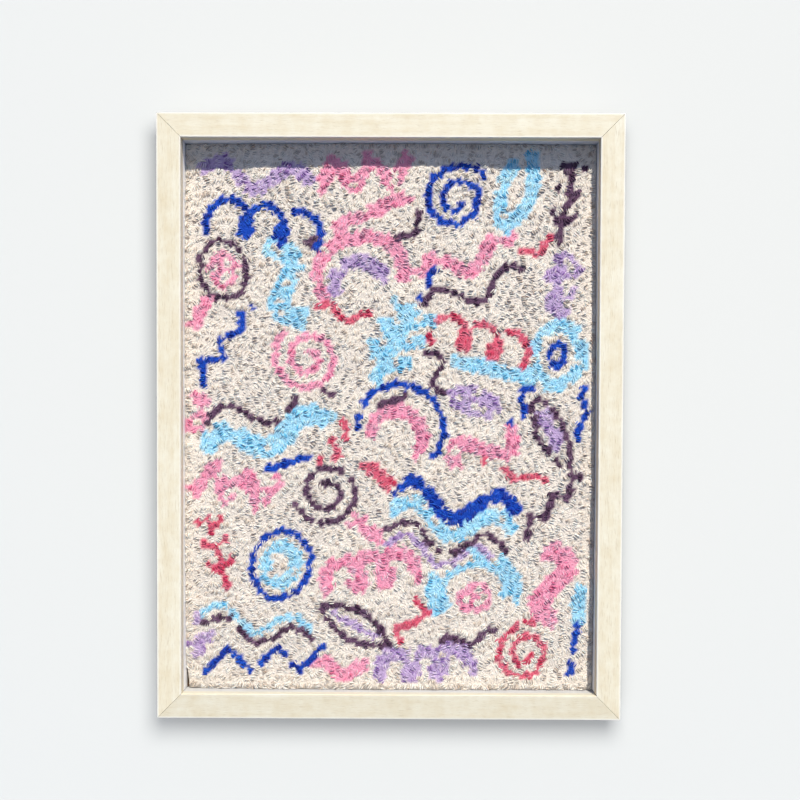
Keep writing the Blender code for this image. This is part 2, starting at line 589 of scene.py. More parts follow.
DYES = {
    Yarn.OATMEAL: YarnDye(from_srgb(253, 244, 230), from_srgb(214, 197, 180), 0.33, 0.26, 0.42),
    Yarn.PINK: YarnDye(from_srgb(242, 124, 160), from_srgb(252, 196, 212), 0.45, 0.25, 0.2),
    Yarn.ROSE: YarnDye(from_srgb(206, 48, 86), from_srgb(244, 146, 162), 0.35, 0.3, 0.15),
    Yarn.COBALT: YarnDye(from_srgb(8, 40, 150), from_srgb(30, 98, 216), 0.4, 0.3, 0.3),
    Yarn.SKY: YarnDye(from_srgb(108, 196, 238), from_srgb(206, 244, 252), 0.5, 0.28, 0.38),
    Yarn.LAVENDER: YarnDye(from_srgb(152, 116, 180), from_srgb(232, 212, 236), 0.45, 0.25, 0.4),
    Yarn.PLUM: YarnDye(from_srgb(70, 38, 66), from_srgb(132, 102, 128), 0.35, 0.25, 0.25),
}


class Bench:
    """Blender's modelling tools, used as by hand."""

    # Faces that meet at less than this many degrees are shaded as one
    SMOOTH_BELOW = 40

    @staticmethod
    def clear() -> None:
        """Selects nothing."""
        bpy.ops.object.select_all(action="DESELECT")

    @staticmethod
    def take(piece: bpy.types.Object) -> None:
        """Selects one piece alone.

        Args:
            piece: The piece.
        """
        Bench.clear()
        piece.select_set(True)
        bpy.context.view_layer.objects.active = piece

    @staticmethod
    def block(name: str, low: Vector, high: Vector) -> bpy.types.Object:
        """Adds a cube and brings it to the box between two corners.

        Args:
            name: The name of the new piece.
            low: The lowest corner.
            high: The highest corner.

        Returns:
            The piece, in place, with nothing left in its transform.
        """
        Bench.clear()
        bpy.ops.mesh.primitive_cube_add(size=1.0, location=(low + high) / 2)
        piece = bpy.context.object
        piece.name = piece.data.name = name
        piece.scale = high - low
        Bench.settle(piece)
        return piece

    @staticmethod
    def settle(piece: bpy.types.Object) -> None:
        """Applies a piece's place, turn and size to its mesh."""
        Bench.take(piece)
        bpy.ops.object.transform_apply(location=True, rotation=True, scale=True)

    @staticmethod
    def edit(piece: bpy.types.Object) -> None:
        """Opens a piece in edit mode, with nothing in it selected.

        Args:
            piece: The piece.
        """
        Bench.take(piece)
        bpy.ops.object.mode_set(mode="EDIT")
        bpy.ops.mesh.select_all(action="DESELECT")

    @staticmethod
    def done() -> None:
        """Leaves edit mode."""
        bpy.ops.object.mode_set(mode="OBJECT")

    @staticmethod
    def pick(piece: bpy.types.Object, kind: str, test: Callable[[list[Vector]], bool]) -> None:
        """Selects the corners, edges or faces of a piece in edit mode whose points pass a test.

        Args:
            piece: The piece.
            kind: VERT, EDGE or FACE.
            test: Takes the places of an element's points.
        """
        bpy.ops.mesh.select_mode(type=kind)
        bpy.ops.mesh.select_all(action="DESELECT")
        shape = bmesh.from_edit_mesh(piece.data)
        found = {"VERT": shape.verts, "EDGE": shape.edges, "FACE": shape.faces}[kind]
        for element in found:
            points = [element.co] if kind == "VERT" else [v.co for v in element.verts]
            element.select_set(test(points))
        shape.select_flush_mode()
        bmesh.update_edit_mesh(piece.data)

    @staticmethod
    def bevel(width: float, segments: int) -> None:
        """Rounds the edges that are selected."""
        bpy.ops.mesh.bevel(offset=width, segments=segments, affect="EDGES", profile=0.5)

    @staticmethod
    def smooth(piece: bpy.types.Object) -> None:
        """Shades a piece smooth across its rounded edges, with its flat faces kept flat.

        Args:
            piece: The piece.
        """
        Bench.take(piece)
        bpy.ops.object.shade_smooth_by_angle(angle=math.radians(Bench.SMOOTH_BELOW))
        Bench.apply(piece, "WEIGHTED_NORMAL", keep_sharp=True)

    @staticmethod
    def join(pieces: Sequence[bpy.types.Object]) -> bpy.types.Object:
        """Joins some pieces.

        Args:
            pieces: The pieces.

        Returns:
            The first of them, which holds them all.
        """
        Bench.clear()
        for piece in pieces:
            piece.select_set(True)
        bpy.context.view_layer.objects.active = pieces[0]
        bpy.ops.object.join()
        return pieces[0]

    @staticmethod
    def apply(piece: bpy.types.Object, kind: str, **settings: object) -> None:
        """Adds a modifier and applies it.

        Args:
            piece: The piece.
            kind: The modifier's type.
            settings: Its settings.
        """
        Bench.take(piece)
        modifier = piece.modifiers.new(kind.title(), kind)
        for key, value in settings.items():
            setattr(modifier, key, value)
        bpy.ops.object.modifier_apply(modifier=modifier.name)


def hand_over(
    piece: bpy.types.Object, slot: Slot, material: bpy.types.Material, *nodes: str
) -> bpy.types.Object:
    """Gives a finished piece its finish and body, and hides the solids that it stands for.

    Args:
        piece: The piece, in place.
        slot: The record's slot that it takes its finish from. It is not used.
        material: Its finish.
        nodes: The solids that it stands for.

    Returns:
        The same piece.
    """
    piece.data.materials.clear()
    piece.data.materials.append(material)
    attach(piece, BODY)
    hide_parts(*nodes)
    LOG.info("%s: %d faces", piece.name, len(piece.data.polygons))
    return piece


def tree_of(points: Points) -> kdtree.KDTree:
    """Makes a search tree.

    Args:
        points: Places on the cloth.

    Returns:
        A tree of them, each with its number.
    """
    tree = kdtree.KDTree(len(points))
    for number, point in enumerate(points):
        tree.insert((*point, 0.0), number)
    tree.balance()
    return tree


@dataclass
class Opening:
    """The opening of the frame, read from the solids around it."""

    left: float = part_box("spacer_left")[1].x
    right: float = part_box("spacer_right")[0].x
    bottom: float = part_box("spacer_bottom")[1].z
    top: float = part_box("spacer_top")[0].z

    @property
    def middle(self) -> Vector:
        """The middle of the opening, on the wall plane."""
        return Vector(((self.left + self.right) / 2, 0.0, (self.bottom + self.top) / 2))

    @property
    def half_width(self) -> float:
        """Half of its width."""
        return (self.right - self.left) / 2

    @property
    def half_height(self) -> float:
        """Half of its height."""
        return (self.top - self.bottom) / 2


@dataclass
class ClothShape:
    """The outline and the face of the punched cloth, read from its solid.

    Places on it are given by how far they lie to the right of the opening's middle and above it.
    A point of the outline belongs to a side when it lies within the edge band of the solid's box,
    and the face is smoothed over a number of its nearest points.
    """

    opening: Opening
    node: str = "punched_cloth"
    edge_band: float = 0.005
    smoothing: int = 14
    rim: float = 0.001
    near: float = 1e-5
    back: float = field(init=False)
    sides: dict[Side, Points] = field(init=False)
    face: Points = field(init=False)
    tree: kdtree.KDTree = field(init=False)

    def __post_init__(self) -> None:
        """Reads the solid: its back has points on the outline alone, and its face a grid inside a rim."""
        low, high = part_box(self.node)
        middle = self.opening.middle
        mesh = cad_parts[self.node].data
        points = np.unique(np.round([point.co for point in mesh.vertices], 7), axis=0)
        points -= (middle.x, 0.0, middle.z)
        self.back = high.y
        rim = points[points[:, 1] > self.back - self.near][:, [0, 2]]
        self.sides = {
            Side.LEFT: rim[rim[:, 0] < low.x - middle.x + self.edge_band],
            Side.RIGHT: rim[rim[:, 0] > high.x - middle.x - self.edge_band],
            Side.BOTTOM: rim[rim[:, 1] < low.z - middle.z + self.edge_band],
            Side.TOP: rim[rim[:, 1] > high.z - middle.z - self.edge_band],
        }
        for side, line in self.sides.items():
            self.sides[side] = line[np.argsort(line[:, 1 if side.upright else 0])]
        flat = points[:, [0, 2]]
        inner = (self.inside(flat, self.rim) == flat).all(axis=1)
        self.face = points[inner & (points[:, 1] <= self.back - self.near)]
        self.tree = tree_of(self.face[:, [0, 2]])

    def edge(self, side: Side, along: Points) -> Points:
        """Gives how far out one edge is.

        Args:
            side: The edge's side.
            along: Places along it.

        Returns:
            The distance at each place, across the edge.
        """
        line = self.sides[side]
        axis = 1 if side.upright else 0
        return np.interp(along, line[:, axis], line[:, 1 - axis])

    def bounds(self, places: Points) -> tuple[Points, Points]:
        """The cloth's edges at some places.

        Args:
            places: The places.

        Returns:
            For each place, the left and the bottom edge, and the right and the top edge.
        """
        across, up = places[:, 0], places[:, 1]
        low = np.stack([self.edge(Side.LEFT, up), self.edge(Side.BOTTOM, across)], axis=1)
        high = np.stack([self.edge(Side.RIGHT, up), self.edge(Side.TOP, across)], axis=1)
        return low, high

    def inside(self, places: Points, margin: float) -> Points:
        """Moves places that are nearer to the cloth's edge than the margin back in."""
        low, high = self.bounds(places)
        return np.clip(places, low + margin, high - margin)

    def front(self, places: Points) -> Points:
        """The Y of the cloth's face at some places, smoothed over its lumps."""
        found = [self.tree.find_n((*place, 0.0), self.smoothing) for place in places]
        return np.array([np.mean([self.face[number, 1] for _, number, _ in near]) for near in found])


@dataclass
class BoxFrame:
    """The four mitred rails, each cut from one moulding."""

    opening: Opening
    finish: LimedWood = LimedWood()
    lip_thickness: float = 0.007
    rebate_width: float = 0.0053
    arris: float = 0.0012
    back_arris: float = 0.0005
    mitre_arris: float = 0.00012
    mitre_gap: float = 0.00012
    spare: float = 0.02
    near: float = 1e-6

    def build(self) -> None:
        """Makes the rails, one after another."""
        for side in Side:
            self.rail(side)

    def rail(self, side: Side) -> None:
        """Models the rail of one side, as the top one, and turns it into place.

        Args:
            side: The side.
        """
        low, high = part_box("rail_top")
        face = high.z - low.z
        half = self.opening.half_height if side.upright else self.opening.half_width
        reach = half + face + self.spare
        front, back = low.y, high.y
        piece = self.moulding(side, reach, front, back, face)
        self.cut_mitres(piece, half)
        self.round_arrises(piece, front, back, face)
        offset = self.opening.half_width if side.upright else self.opening.half_height
        piece.location = Vector((0.0, 0.0, offset))
        Bench.settle(piece)
        piece.rotation_euler = (0.0, math.radians(side.value), 0.0)
        Bench.settle(piece)
        piece.location = self.opening.middle
        Bench.settle(piece)
        Bench.smooth(piece)
        way = -1 if side in (Side.LEFT, Side.BOTTOM) else 1
        centre = self.opening.middle.x if side.upright else self.opening.middle.z
        inner, outer = centre + way * offset, centre + way * (offset + face)
        material = self.finish.material(side, front, inner, outer)
        hand_over(piece, Slot.WOOD, material, side.node("rail"))

    def moulding(
        self, side: Side, reach: float, front: float, back: float, face: float
    ) -> bpy.types.Object:
        """Models a length of the moulding: the lip is drawn first, and the rear limb is drawn out of it.

        Args:
            side: The side that it is for, which names it.
            reach: Half of its length, with some to spare.
            front: The place of its face along Y.
            back: The place of its back along Y.
            face: The width of its face.

        Returns:
            The uncut moulding, with its sight edge on Z = 0.
        """
        lip_back = front + self.lip_thickness
        low, high = Vector((-reach, front, 0.0)), Vector((reach, lip_back, face))
        piece = Bench.block(side.node("frame_rail"), low, high)
        Bench.edit(piece)
        bpy.ops.mesh.select_all(action="SELECT")
        cut = {"plane_co": (0, 0, self.rebate_width), "plane_no": (0, 0, 1)}
        bpy.ops.mesh.bisect(**cut)
        Bench.pick(
            piece,
            "FACE",
            lambda ps: all(
                p.y > lip_back - self.near and p.z > self.rebate_width - self.near for p in ps
            ),
        )
        drawn = {"value": (0, back - lip_back, 0)}
        bpy.ops.mesh.extrude_region_move(TRANSFORM_OT_translate=drawn)
        Bench.done()
        return piece

    def cut_mitres(self, piece: bpy.types.Object, half: float) -> None:
        """Cuts both ends at 45 degrees, a hair short of the neighbouring rails.

        Args:
            piece: The uncut moulding.
            half: Half of the rail's length along its sight edge.
        """
        for way in (-1, 1):
            Bench.edit(piece)
            bpy.ops.mesh.select_all(action="SELECT")
            spot = (way * (half - self.mitre_gap), 0, 0)
            cut = {"plane_co": spot, "plane_no": (way, 0, -1), "clear_outer": True, "use_fill": True}
            bpy.ops.mesh.bisect(**cut)
            Bench.done()

    def round_arrises(self, piece: bpy.types.Object, front: float, back: float, face: float) -> None:
        """Rounds the long edges that are handled, and eases the mitres and the back.

        Args:
            piece: The rail, with its mitres cut.
            front: The place of its face along Y.
            back: The place of its back along Y.
            face: The width of its face.
        """
        near = self.near

        def runs_along(ps: list[Vector]) -> bool:
            """Whether an edge runs along the rail."""
            return abs(ps[0].z - ps[1].z) < near and abs(ps[0].y - ps[1].y) < near

        def on_mitre(ps: list[Vector]) -> bool:
            """Whether an edge lies on the front part of a mitre."""
            return not runs_along(ps) and all(p.y < front + self.lip_thickness / 2 for p in ps)

        Bench.edit(piece)
        Bench.pick(piece, "EDGE", lambda ps: on_mitre(ps) and abs(ps[0].z - ps[1].z) > near)
        Bench.bevel(self.mitre_arris, 2)
        Bench.pick(
            piece,
            "EDGE",
            lambda ps: runs_along(ps)
            and abs(ps[0].y - front) < near
            and (ps[0].z < near or ps[0].z > face - near),
        )
        Bench.bevel(self.arris, 4)
        Bench.pick(piece, "EDGE", lambda ps: runs_along(ps) and abs(ps[0].y - back) < near)
        Bench.bevel(self.back_arris, 2)
        bpy.ops.mesh.select_all(action="SELECT")
        bpy.ops.mesh.normals_make_consistent(inside=False)
        Bench.done()


@dataclass
class Strips:
    """The white strips in the rebate."""

    finish: WhitePaint = WhitePaint()
    arris: float = 0.0004

    def build(self) -> None:
        """Makes each strip in the box of its solid, with eased edges."""
        for side in Side:
            low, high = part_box(side.node("spacer"))
            piece = Bench.block(side.node("strip"), low, high)
            Bench.edit(piece)
            bpy.ops.mesh.select_all(action="SELECT")
            Bench.bevel(self.arris, 2)
            bpy.ops.mesh.select_all(action="SELECT")
            bpy.ops.mesh.normals_make_consistent(inside=False)
            Bench.done()
            Bench.smooth(piece)
            hand_over(piece, Slot.PAINT, self.finish.material(side), side.node("spacer"))


@dataclass
class Backing:
    """The board that closes the frame."""

    finish: Hardboard = Hardboard()

    def build(self) -> None:
        """Gives the board's solid its finish: its shape is right as it is."""
        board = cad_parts["back_board"]
        board.data.materials.clear()
        board.data.materials.append(self.finish.material())


class Form(Enum):
    """The plain figures that the pattern is drawn with."""

    WAVE = "wave"
    ESS = "ess"
    ARCH = "arch"
    SPIRAL = "spiral"
    RING = "ring"
    ZIGZAG = "zigzag"
    LEAF = "leaf"
    CURLS = "curls"
    STAIR = "stair"
    SPRIG = "sprig"
    STROKE = "stroke"
    PATCH = "patch"


def along(count: int = 120) -> Points:
    """Even steps from 0 to 1."""
    return np.linspace(0.0, 1.0, count)


def drawn(x: Points, y: Points) -> Points:
    """A line through points that are given by their two coordinates."""
    return np.stack([x, y], axis=1)


def straight(*corners: tuple[float, float]) -> Points:
    """Draws a line with corners.

    Args:
        corners: The corners, from its start to its end.

    Returns:
        Points along it.
    """
    ends = np.array(corners, float)
    steps = np.linspace(0, len(ends) - 1, 40 * len(ends))
    places = np.arange(len(ends))
    return drawn(np.interp(steps, places, ends[:, 0]), np.interp(steps, places, ends[:, 1]))


def figure(form: Form) -> list[Points]:
    """The lines of a figure, drawn in a square from -1 to 1.

    Args:
        form: The figure.

    Returns:
        One array of points for each line.
    """
    t = along()
    turn = 2 * math.pi * t
    if form is Form.WAVE:
        return [drawn(2 * t - 1, np.sin(1.5 * turn))]
    if form is Form.ESS:
        return [drawn(np.sin(turn), 1 - 2 * t)]
    if form is Form.ARCH:
        sweep = math.pi * (1.15 - 1.3 * t)
        return [drawn(np.cos(sweep), np.sin(sweep))]
    if form is Form.SPIRAL:
        radius = 1 - 0.8 * t
        return [drawn(radius * np.cos(1.9 * turn), radius * np.sin(1.9 * turn))]
    if form is Form.RING:
        return [drawn(np.cos(turn), np.sin(turn))]
    if form is Form.ZIGZAG:
        return [straight((-1, -1), (-0.6, 1), (-0.2, -1), (0.2, 1), (0.6, -1), (1, 1))]
    if form is Form.LEAF:
        edge = 0.5 * np.sin(math.pi * t)
        return [drawn(edge, 2 * t - 1), drawn(-edge, 2 * t - 1)]
    if form is Form.CURLS:
        return [drawn(0.85 * (2 * t - 1) - 0.2 * np.sin(3 * turn), -np.cos(3 * turn))]
    if form is Form.STAIR:
        return [straight((-1, -1), (-1, -0.3), (-0.3, -0.3), (-0.3, 0.35), (0.4, 0.35), (0.4, 1), (1, 1))]
    if form is Form.SPRIG:
        side = [straight((0, h), (way, h + 0.42)) for h in (-0.6, -0.05, 0.5) for way in (-0.8, 0.8)]
        return [straight((0, -1), (0, 1)), *side]
    if form is Form.STROKE:
        return [straight((-1, 0), (1, 0))]
    return [share * drawn(np.cos(turn), np.sin(turn)) for share in (1.0, 0.66, 0.33)]


@dataclass(frozen=True)
class Motif:
    """One figure of the pattern, in millimetres from the cloth's middle.

    It is turned by degrees, to the left, and each of its lines is one or more rows of loops.
    """

    form: Form
    yarn: Yarn
    x: float
    y: float
    half_width: float
    half_height: float
    turn: float = 0.0
    rows: int = 1

    def lines(self) -> list[Points]:
        """Draws the figure on the cloth.

        Returns:
            The points of each of its lines, in metres from the cloth's middle.
        """
        size = np.array([self.half_width, self.half_height]) * MM
        angle = math.radians(self.turn)
        spin = np.array([[math.cos(angle), math.sin(angle)], [-math.sin(angle), math.cos(angle)]])
        place = np.array([self.x, self.y]) * MM
        return [(line * size) @ spin + place for line in figure(self.form)]


PATTERN = (
    Motif(Form.WAVE, Yarn.LAVENDER, -98, 176, 40, 9, -6, 2),
    Motif(Form.ZIGZAG, Yarn.PINK, -20, 178, 34, 11, 4, 2),
    Motif(Form.SPIRAL, Yarn.COBALT, 48, 160, 26, 24, 40),
    Motif(Form.LEAF, Yarn.SKY, 92, 166, 22, 30, -20, 2),
    Motif(Form.SPRIG, Yarn.PLUM, 128, 158, 13, 32, -12),
    Motif(Form.CURLS, Yarn.COBALT, -92, 142, 46, 13, -10),
    Motif(Form.STROKE, Yarn.PINK, -14, 150, 30, 1, 24, 2),
    Motif(Form.RING, Yarn.PLUM, -122, 108, 17, 21, 10),
    Motif(Form.PATCH, Yarn.PINK, -122, 108, 9, 12, 10),
    Motif(Form.ESS, Yarn.SKY, -76, 98, 14, 30, 30, 3),
    Motif(Form.ARCH, Yarn.PINK, -22, 106, 32, 26, 14, 2),
    Motif(Form.ARCH, Yarn.LAVENDER, -24, 100, 18, 14, 14, 2),
    Motif(Form.WAVE, Yarn.PINK, 56, 116, 38, 9, 18, 2),
    Motif(Form.WAVE, Yarn.PLUM, 62, 94, 40, 9, 18),
    Motif(Form.ZIGZAG, Yarn.LAVENDER, 124, 98, 22, 9, 78, 2),
    Motif(Form.STAIR, Yarn.COBALT, -116, 52, 24, 26, 8),
    Motif(Form.SPIRAL, Yarn.PINK, -60, 44, 26, 26, 120),
    Motif(Form.SPRIG, Yarn.SKY, 4, 54, 20, 32, -30, 2),
    Motif(Form.CURLS, Yarn.ROSE, 66, 58, 40, 11, -14),
    Motif(Form.STROKE, Yarn.SKY, 74, 36, 30, 1, -14, 2),
    Motif(Form.RING, Yarn.SKY, 122, 46, 17, 22, -14, 2),
    Motif(Form.PATCH, Yarn.COBALT, 122, 46, 5, 9, -14),
    Motif(Form.WAVE, Yarn.PLUM, -88, 6, 48, 9, 12),
    Motif(Form.WAVE, Yarn.SKY, -90, -13, 48, 9, 12, 3),
    Motif(Form.ARCH, Yarn.COBALT, 8, -6, 32, 30, -24),
    Motif(Form.ARCH, Yarn.PINK, 5, -13, 19, 18, -24, 2),
    Motif(Form.PATCH, Yarn.LAVENDER, 62, 12, 18, 8, -20),
    Motif(Form.ESS, Yarn.PINK, 68, -22, 15, 26, -50, 2),
    Motif(Form.LEAF, Yarn.PLUM, 118, -10, 20, 30, 26),
    Motif(Form.STROKE, Yarn.LAVENDER, 118, -10, 18, 1, -64, 2),
    Motif(Form.ZIGZAG, Yarn.PINK, -112, -50, 30, 12, -12, 2),
    Motif(Form.SPIRAL, Yarn.PLUM, -46, -54, 25, 25, 200),
    Motif(Form.STROKE, Yarn.ROSE, -8, -42, 14, 1, -40, 2),
    Motif(Form.WAVE, Yarn.COBALT, 48, -62, 48, 11, -10, 2),
    Motif(Form.WAVE, Yarn.SKY, 46, -76, 46, 10, -10, 2),
    Motif(Form.WAVE, Yarn.PLUM, 42, -90, 44, 9, -10),
    Motif(Form.WAVE, Yarn.LAVENDER, 38, -99, 40, 9, -10),
    Motif(Form.STAIR, Yarn.PLUM, 122, -66, 18, 26, -8),
    Motif(Form.SPRIG, Yarn.ROSE, -126, -98, 13, 28, 14),
    Motif(Form.RING, Yarn.COBALT, -80, -108, 21, 25, -18),
    Motif(Form.RING, Yarn.SKY, -80, -108, 11, 14, -18, 2),
    Motif(Form.CURLS, Yarn.PINK, -14, -112, 36, 11, 8, 2),
    Motif(Form.ARCH, Yarn.SKY, 62, -126, 28, 24, 10, 3),
    Motif(Form.PATCH, Yarn.PINK, 62, -132, 11, 9, 10),
    Motif(Form.ESS, Yarn.PINK, 120, -122, 14, 28, 12, 3),
    Motif(Form.WAVE, Yarn.SKY, -98, -150, 40, 8, -8),
    Motif(Form.WAVE, Yarn.PLUM, -96, -158, 40, 8, -8),
    Motif(Form.LEAF, Yarn.PLUM, -26, -152, 22, 30, 62),
    Motif(Form.STROKE, Yarn.LAVENDER, -26, -152, 18, 1, -28),
    Motif(Form.ZIGZAG, Yarn.COBALT, -92, -178, 44, 9, 2),
    Motif(Form.CURLS, Yarn.LAVENDER, 26, -180, 36, 9, 4, 2),
    Motif(Form.SPIRAL, Yarn.ROSE, 100, -172, 24, 21, 60),
    Motif(Form.STROKE, Yarn.COBALT, 136, -168, 20, 1, 84),
    Motif(Form.ESS, Yarn.ROSE, 16, -150, 9, 18, -14),
    Motif(Form.WAVE, Yarn.ROSE, -32, 76, 22, 5, -12),
    Motif(Form.WAVE, Yarn.PINK, -34, -184, 24, 5, -6, 2),
    Motif(Form.ZIGZAG, Yarn.ROSE, -40, -22, 20, 6, 58),
    Motif(Form.STROKE, Yarn.PINK, -138, 78, 14, 1, 64, 2),
    Motif(Form.WAVE, Yarn.ROSE, 108, 124, 18, 4, 30),
    Motif(Form.WAVE, Yarn.PINK, -10, -82, 22, 5, -14, 2),
    Motif(Form.STROKE, Yarn.COBALT, -74, -33, 16, 1, 14),
    Motif(Form.ESS, Yarn.PLUM, 34, 34, 7, 16, 24),
    Motif(Form.WAVE, Yarn.ROSE, 92, -40, 26, 4, -20),
    Motif(Form.WAVE, Yarn.PLUM, 60, -162, 22, 4, 8),
    Motif(Form.WAVE, Yarn.LAVENDER, -137, -158, 16, 4, 82, 2),
    Motif(Form.WAVE, Yarn.COBALT, 26, 92, 18, 4, 62),
    Motif(Form.WAVE, Yarn.PINK, -138, 6, 16, 4, 84, 2),
    Motif(Form.STROKE, Yarn.SKY, 139, -140, 16, 1, 86, 2),
    Motif(Form.WAVE, Yarn.COBALT, 141, 4, 20, 3, 84),
    Motif(Form.WAVE, Yarn.PLUM, 16, 138, 18, 4, 48),
    Motif(Form.STROKE, Yarn.PLUM, -60, 128, 14, 1, 34),
    Motif(Form.WAVE, Yarn.COBALT, 94, 4, 20, 4, 62),
    Motif(Form.STROKE, Yarn.PLUM, 4, 14, 12, 1, 20),
)


@dataclass
class Stitches:
    """Where the loops stand: their places, the way that each row runs there, and their yarns."""

    places: Points
    angles: Points
    yarns: list[Yarn]

    def __len__(self) -> int:
        """How many loops there are."""
        return len(self.places)


@dataclass
class StitchPlan:
    """Lays out the loops: the figures first, row by row, and then the ground between them.

    The ground's loops start on a scattered grid and push each other apart in a number of rounds.
    """

    cloth: ClothShape
    stitch: float = 0.0058
    row: float = 0.0050
    too_near: float = 0.0042
    start: float = 0.2
    staggered_start: float = 0.5
    ground_pitch: float = 0.0055
    scatter: float = 0.3
    hole: float = 0.0039
    probe: float = 0.0015
    edge: float = 0.0015
    relax_rounds: int = 16
    relax_step: float = 0.30
    relax_reach: float = 1.35
    drift_share: float = 0.35
    echo_reach: float = 0.0045
    wobble: float = 0.0005
    seed: int = 5
    rng: np.random.Generator = field(init=False)

    def __post_init__(self) -> None:
        """Starts the one source of chance that the plan draws from."""
        self.rng = np.random.default_rng(self.seed)

    def lay(self) -> Stitches:
        """Lays out every loop.

        Returns:
            The loops of the figures, followed by those of the ground.
        """
        places, angles, yarns = self.figures()
        ground = self.ground(places)
        ways = self.ground_ways(ground, places, angles)
        yarns += [Yarn.OATMEAL] * len(ground)
        return Stitches(np.concatenate([places, ground]), np.concatenate([angles, ways]), yarns)

    def figures(self) -> tuple[Points, Points, list[Yarn]]:
        """Lays out the loops of the figures, but for those that would stand on an earlier one.

        Returns:
            The place, the angle and the yarn of each loop.
        """
        places: list[Points] = []
        angles: list[float] = []
        yarns: list[Yarn] = []
        for motif in PATTERN:
            rows = (np.arange(motif.rows) - (motif.rows - 1) / 2) * self.row
            lines = motif.lines()
            spots = (spot for line in lines for offset in rows for spot in self.row_of(line, offset))
            for place, angle in spots:
                inside = (self.cloth.inside(place[None], self.edge)[0] == place).all()
                steps = np.array(places or [(math.inf, math.inf)]) - place
                if inside and np.linalg.norm(steps, axis=1).min() > self.too_near:
                    places.append(place)
                    angles.append(angle)
                    yarns.append(motif.yarn)
        return np.array(places), np.array(angles), yarns

    def row_of(self, line: Points, offset: float) -> Iterable[tuple[Points, float]]:
        """Walks along a line and gives a loop's place and way at each stitch.

        Args:
            line: The line's points.
            offset: How far to the left of the line the row runs.

        Yields:
            The place and the angle of each loop.
        """
        ways = np.gradient(line, axis=0)
        ways /= np.maximum(np.linalg.norm(ways, axis=1), 1e-9)[:, None]
        moved = line + offset * np.stack([-ways[:, 1], ways[:, 0]], axis=1)
        steps = np.linalg.norm(np.diff(moved, axis=0), axis=1)
        reach = np.concatenate([[0.0], np.cumsum(steps)])
        start = self.stitch * (self.staggered_start if offset > 0 else self.start)
        for spot in np.arange(start, max(reach[-1], start + 1e-9), self.stitch):
            place = np.array([np.interp(spot, reach, moved[:, axis]) for axis in (0, 1)])
            way = np.array([np.interp(spot, reach, ways[:, axis]) for axis in (0, 1)])
            yield place + self.rng.normal(0, self.wobble, 2), math.atan2(way[1], way[0])

    def ground(self, figures: Points) -> Points:
        """Fills what the figures leave with loops that push each other apart until they lie evenly.

        Args:
            figures: The figures' loops.

        Returns:
            The places of the ground's loops.
        """
        half = (self.cloth.opening.half_width, self.cloth.opening.half_height)
        rise = self.ground_pitch * math.sqrt(3) / 2
        rows = np.arange(-half[1], half[1], rise)
        spots = []
        for number, height in enumerate(rows):
            first = -half[0] + (number % 2) * self.ground_pitch / 2
            columns = np.arange(first, half[0], self.ground_pitch)
            spots.append(drawn(columns, np.full(len(columns), height)))
        ground = np.concatenate(spots)
        ground += self.rng.uniform(-self.scatter, self.scatter, ground.shape) * self.ground_pitch
        ground = ground[(self.cloth.inside(ground, self.edge) == ground).all(axis=1)]
        tree = tree_of(figures)
        clear = np.array([tree.find((*p, 0.0))[2] for p in ground]) > self.too_near
        ground = ground[clear]
        for _ in range(2):
            for _ in range(self.relax_rounds):
                ground = self.relaxed(ground, figures)
            ground = self.filled(ground, figures)
        return ground

    def filled(self, ground: Points, figures: Points) -> Points:
        """Adds a ground loop wherever a hole is left.

        Args:
            ground: The ground loops.
            figures: The figures' loops.

        Returns:
            The ground loops with the added ones.
        """
        tree = tree_of(np.concatenate([ground, figures]))
        half = (self.cloth.opening.half_width, self.cloth.opening.half_height)
        across, up = (np.arange(-reach, reach, self.probe) for reach in half)
        probes = np.stack(np.meshgrid(across, up), axis=-1).reshape(-1, 2)
        added: list[Points] = []
        for spot in self.cloth.inside(probes, self.edge):
            if tree.find((*spot, 0.0))[2] > self.hole:
                if all(np.linalg.norm(spot - other) > self.hole for other in added):
                    added.append(spot)
        return np.concatenate([ground, added]) if added else ground

    def relaxed(self, ground: Points, figures: Points) -> Points:
        """Moves each ground loop a little away from what stands too near it.

        Args:
            ground: The ground loops.
            figures: The loops that stay where they are.

        Returns:
            The moved ground loops, inside the opening.
        """
        everything = np.concatenate([ground, figures])
        tree = tree_of(everything)
        reach = self.ground_pitch * self.relax_reach
        moved = ground.copy()
        for number, place in enumerate(ground):
            push = np.zeros(2)
            for _, other, far in tree.find_range((*place, 0.0), reach):
                if other != number and far > 0:
                    push += (place - everything[other]) / far * (1 - far / reach)
            moved[number] += push * self.ground_pitch * self.relax_step
        return self.cloth.inside(moved, self.edge)

    def ground_ways(self, ground: Points, figures: Points, angles: Points) -> Points:
        """The way of each ground loop: it follows the figures near them, and drifts elsewhere.

        Args:
            ground: The ground loops.
            figures: The figures' loops.
            angles: Their ways.

        Returns:
            An angle for each ground loop.
        """
        x, y = ground[:, 0] / MM, ground[:, 1] / MM
        # Slow waves, from 100 to 230 mm long
        drift = 0.5 * np.sin(x / 31 + 0.9) + 0.45 * np.sin(y / 37 + x / 83) + 0.2 * np.sin((x - y) / 17)
        # An angle is doubled while it is averaged, because a row has no front and no back
        doubled = self.drift_share * np.stack([np.cos(2 * drift), np.sin(2 * drift)], axis=1)
        echo = np.stack([np.cos(2 * angles), np.sin(2 * angles)], axis=1)
        for number, place in enumerate(ground):
            far = ((figures - place) ** 2).sum(1)
            weight = np.exp(-far / (2 * self.echo_reach**2))
            doubled[number] += weight @ echo
        return np.arctan2(doubled[:, 1], doubled[:, 0]) / 2


@dataclass
class LoopShape:
    """One loop's mesh as arrays: x along its row, y across it, and z from its feet to its top."""

    points: Points
    plies: Points
    faces: list[tuple[int, ...]]
    uvs: Points


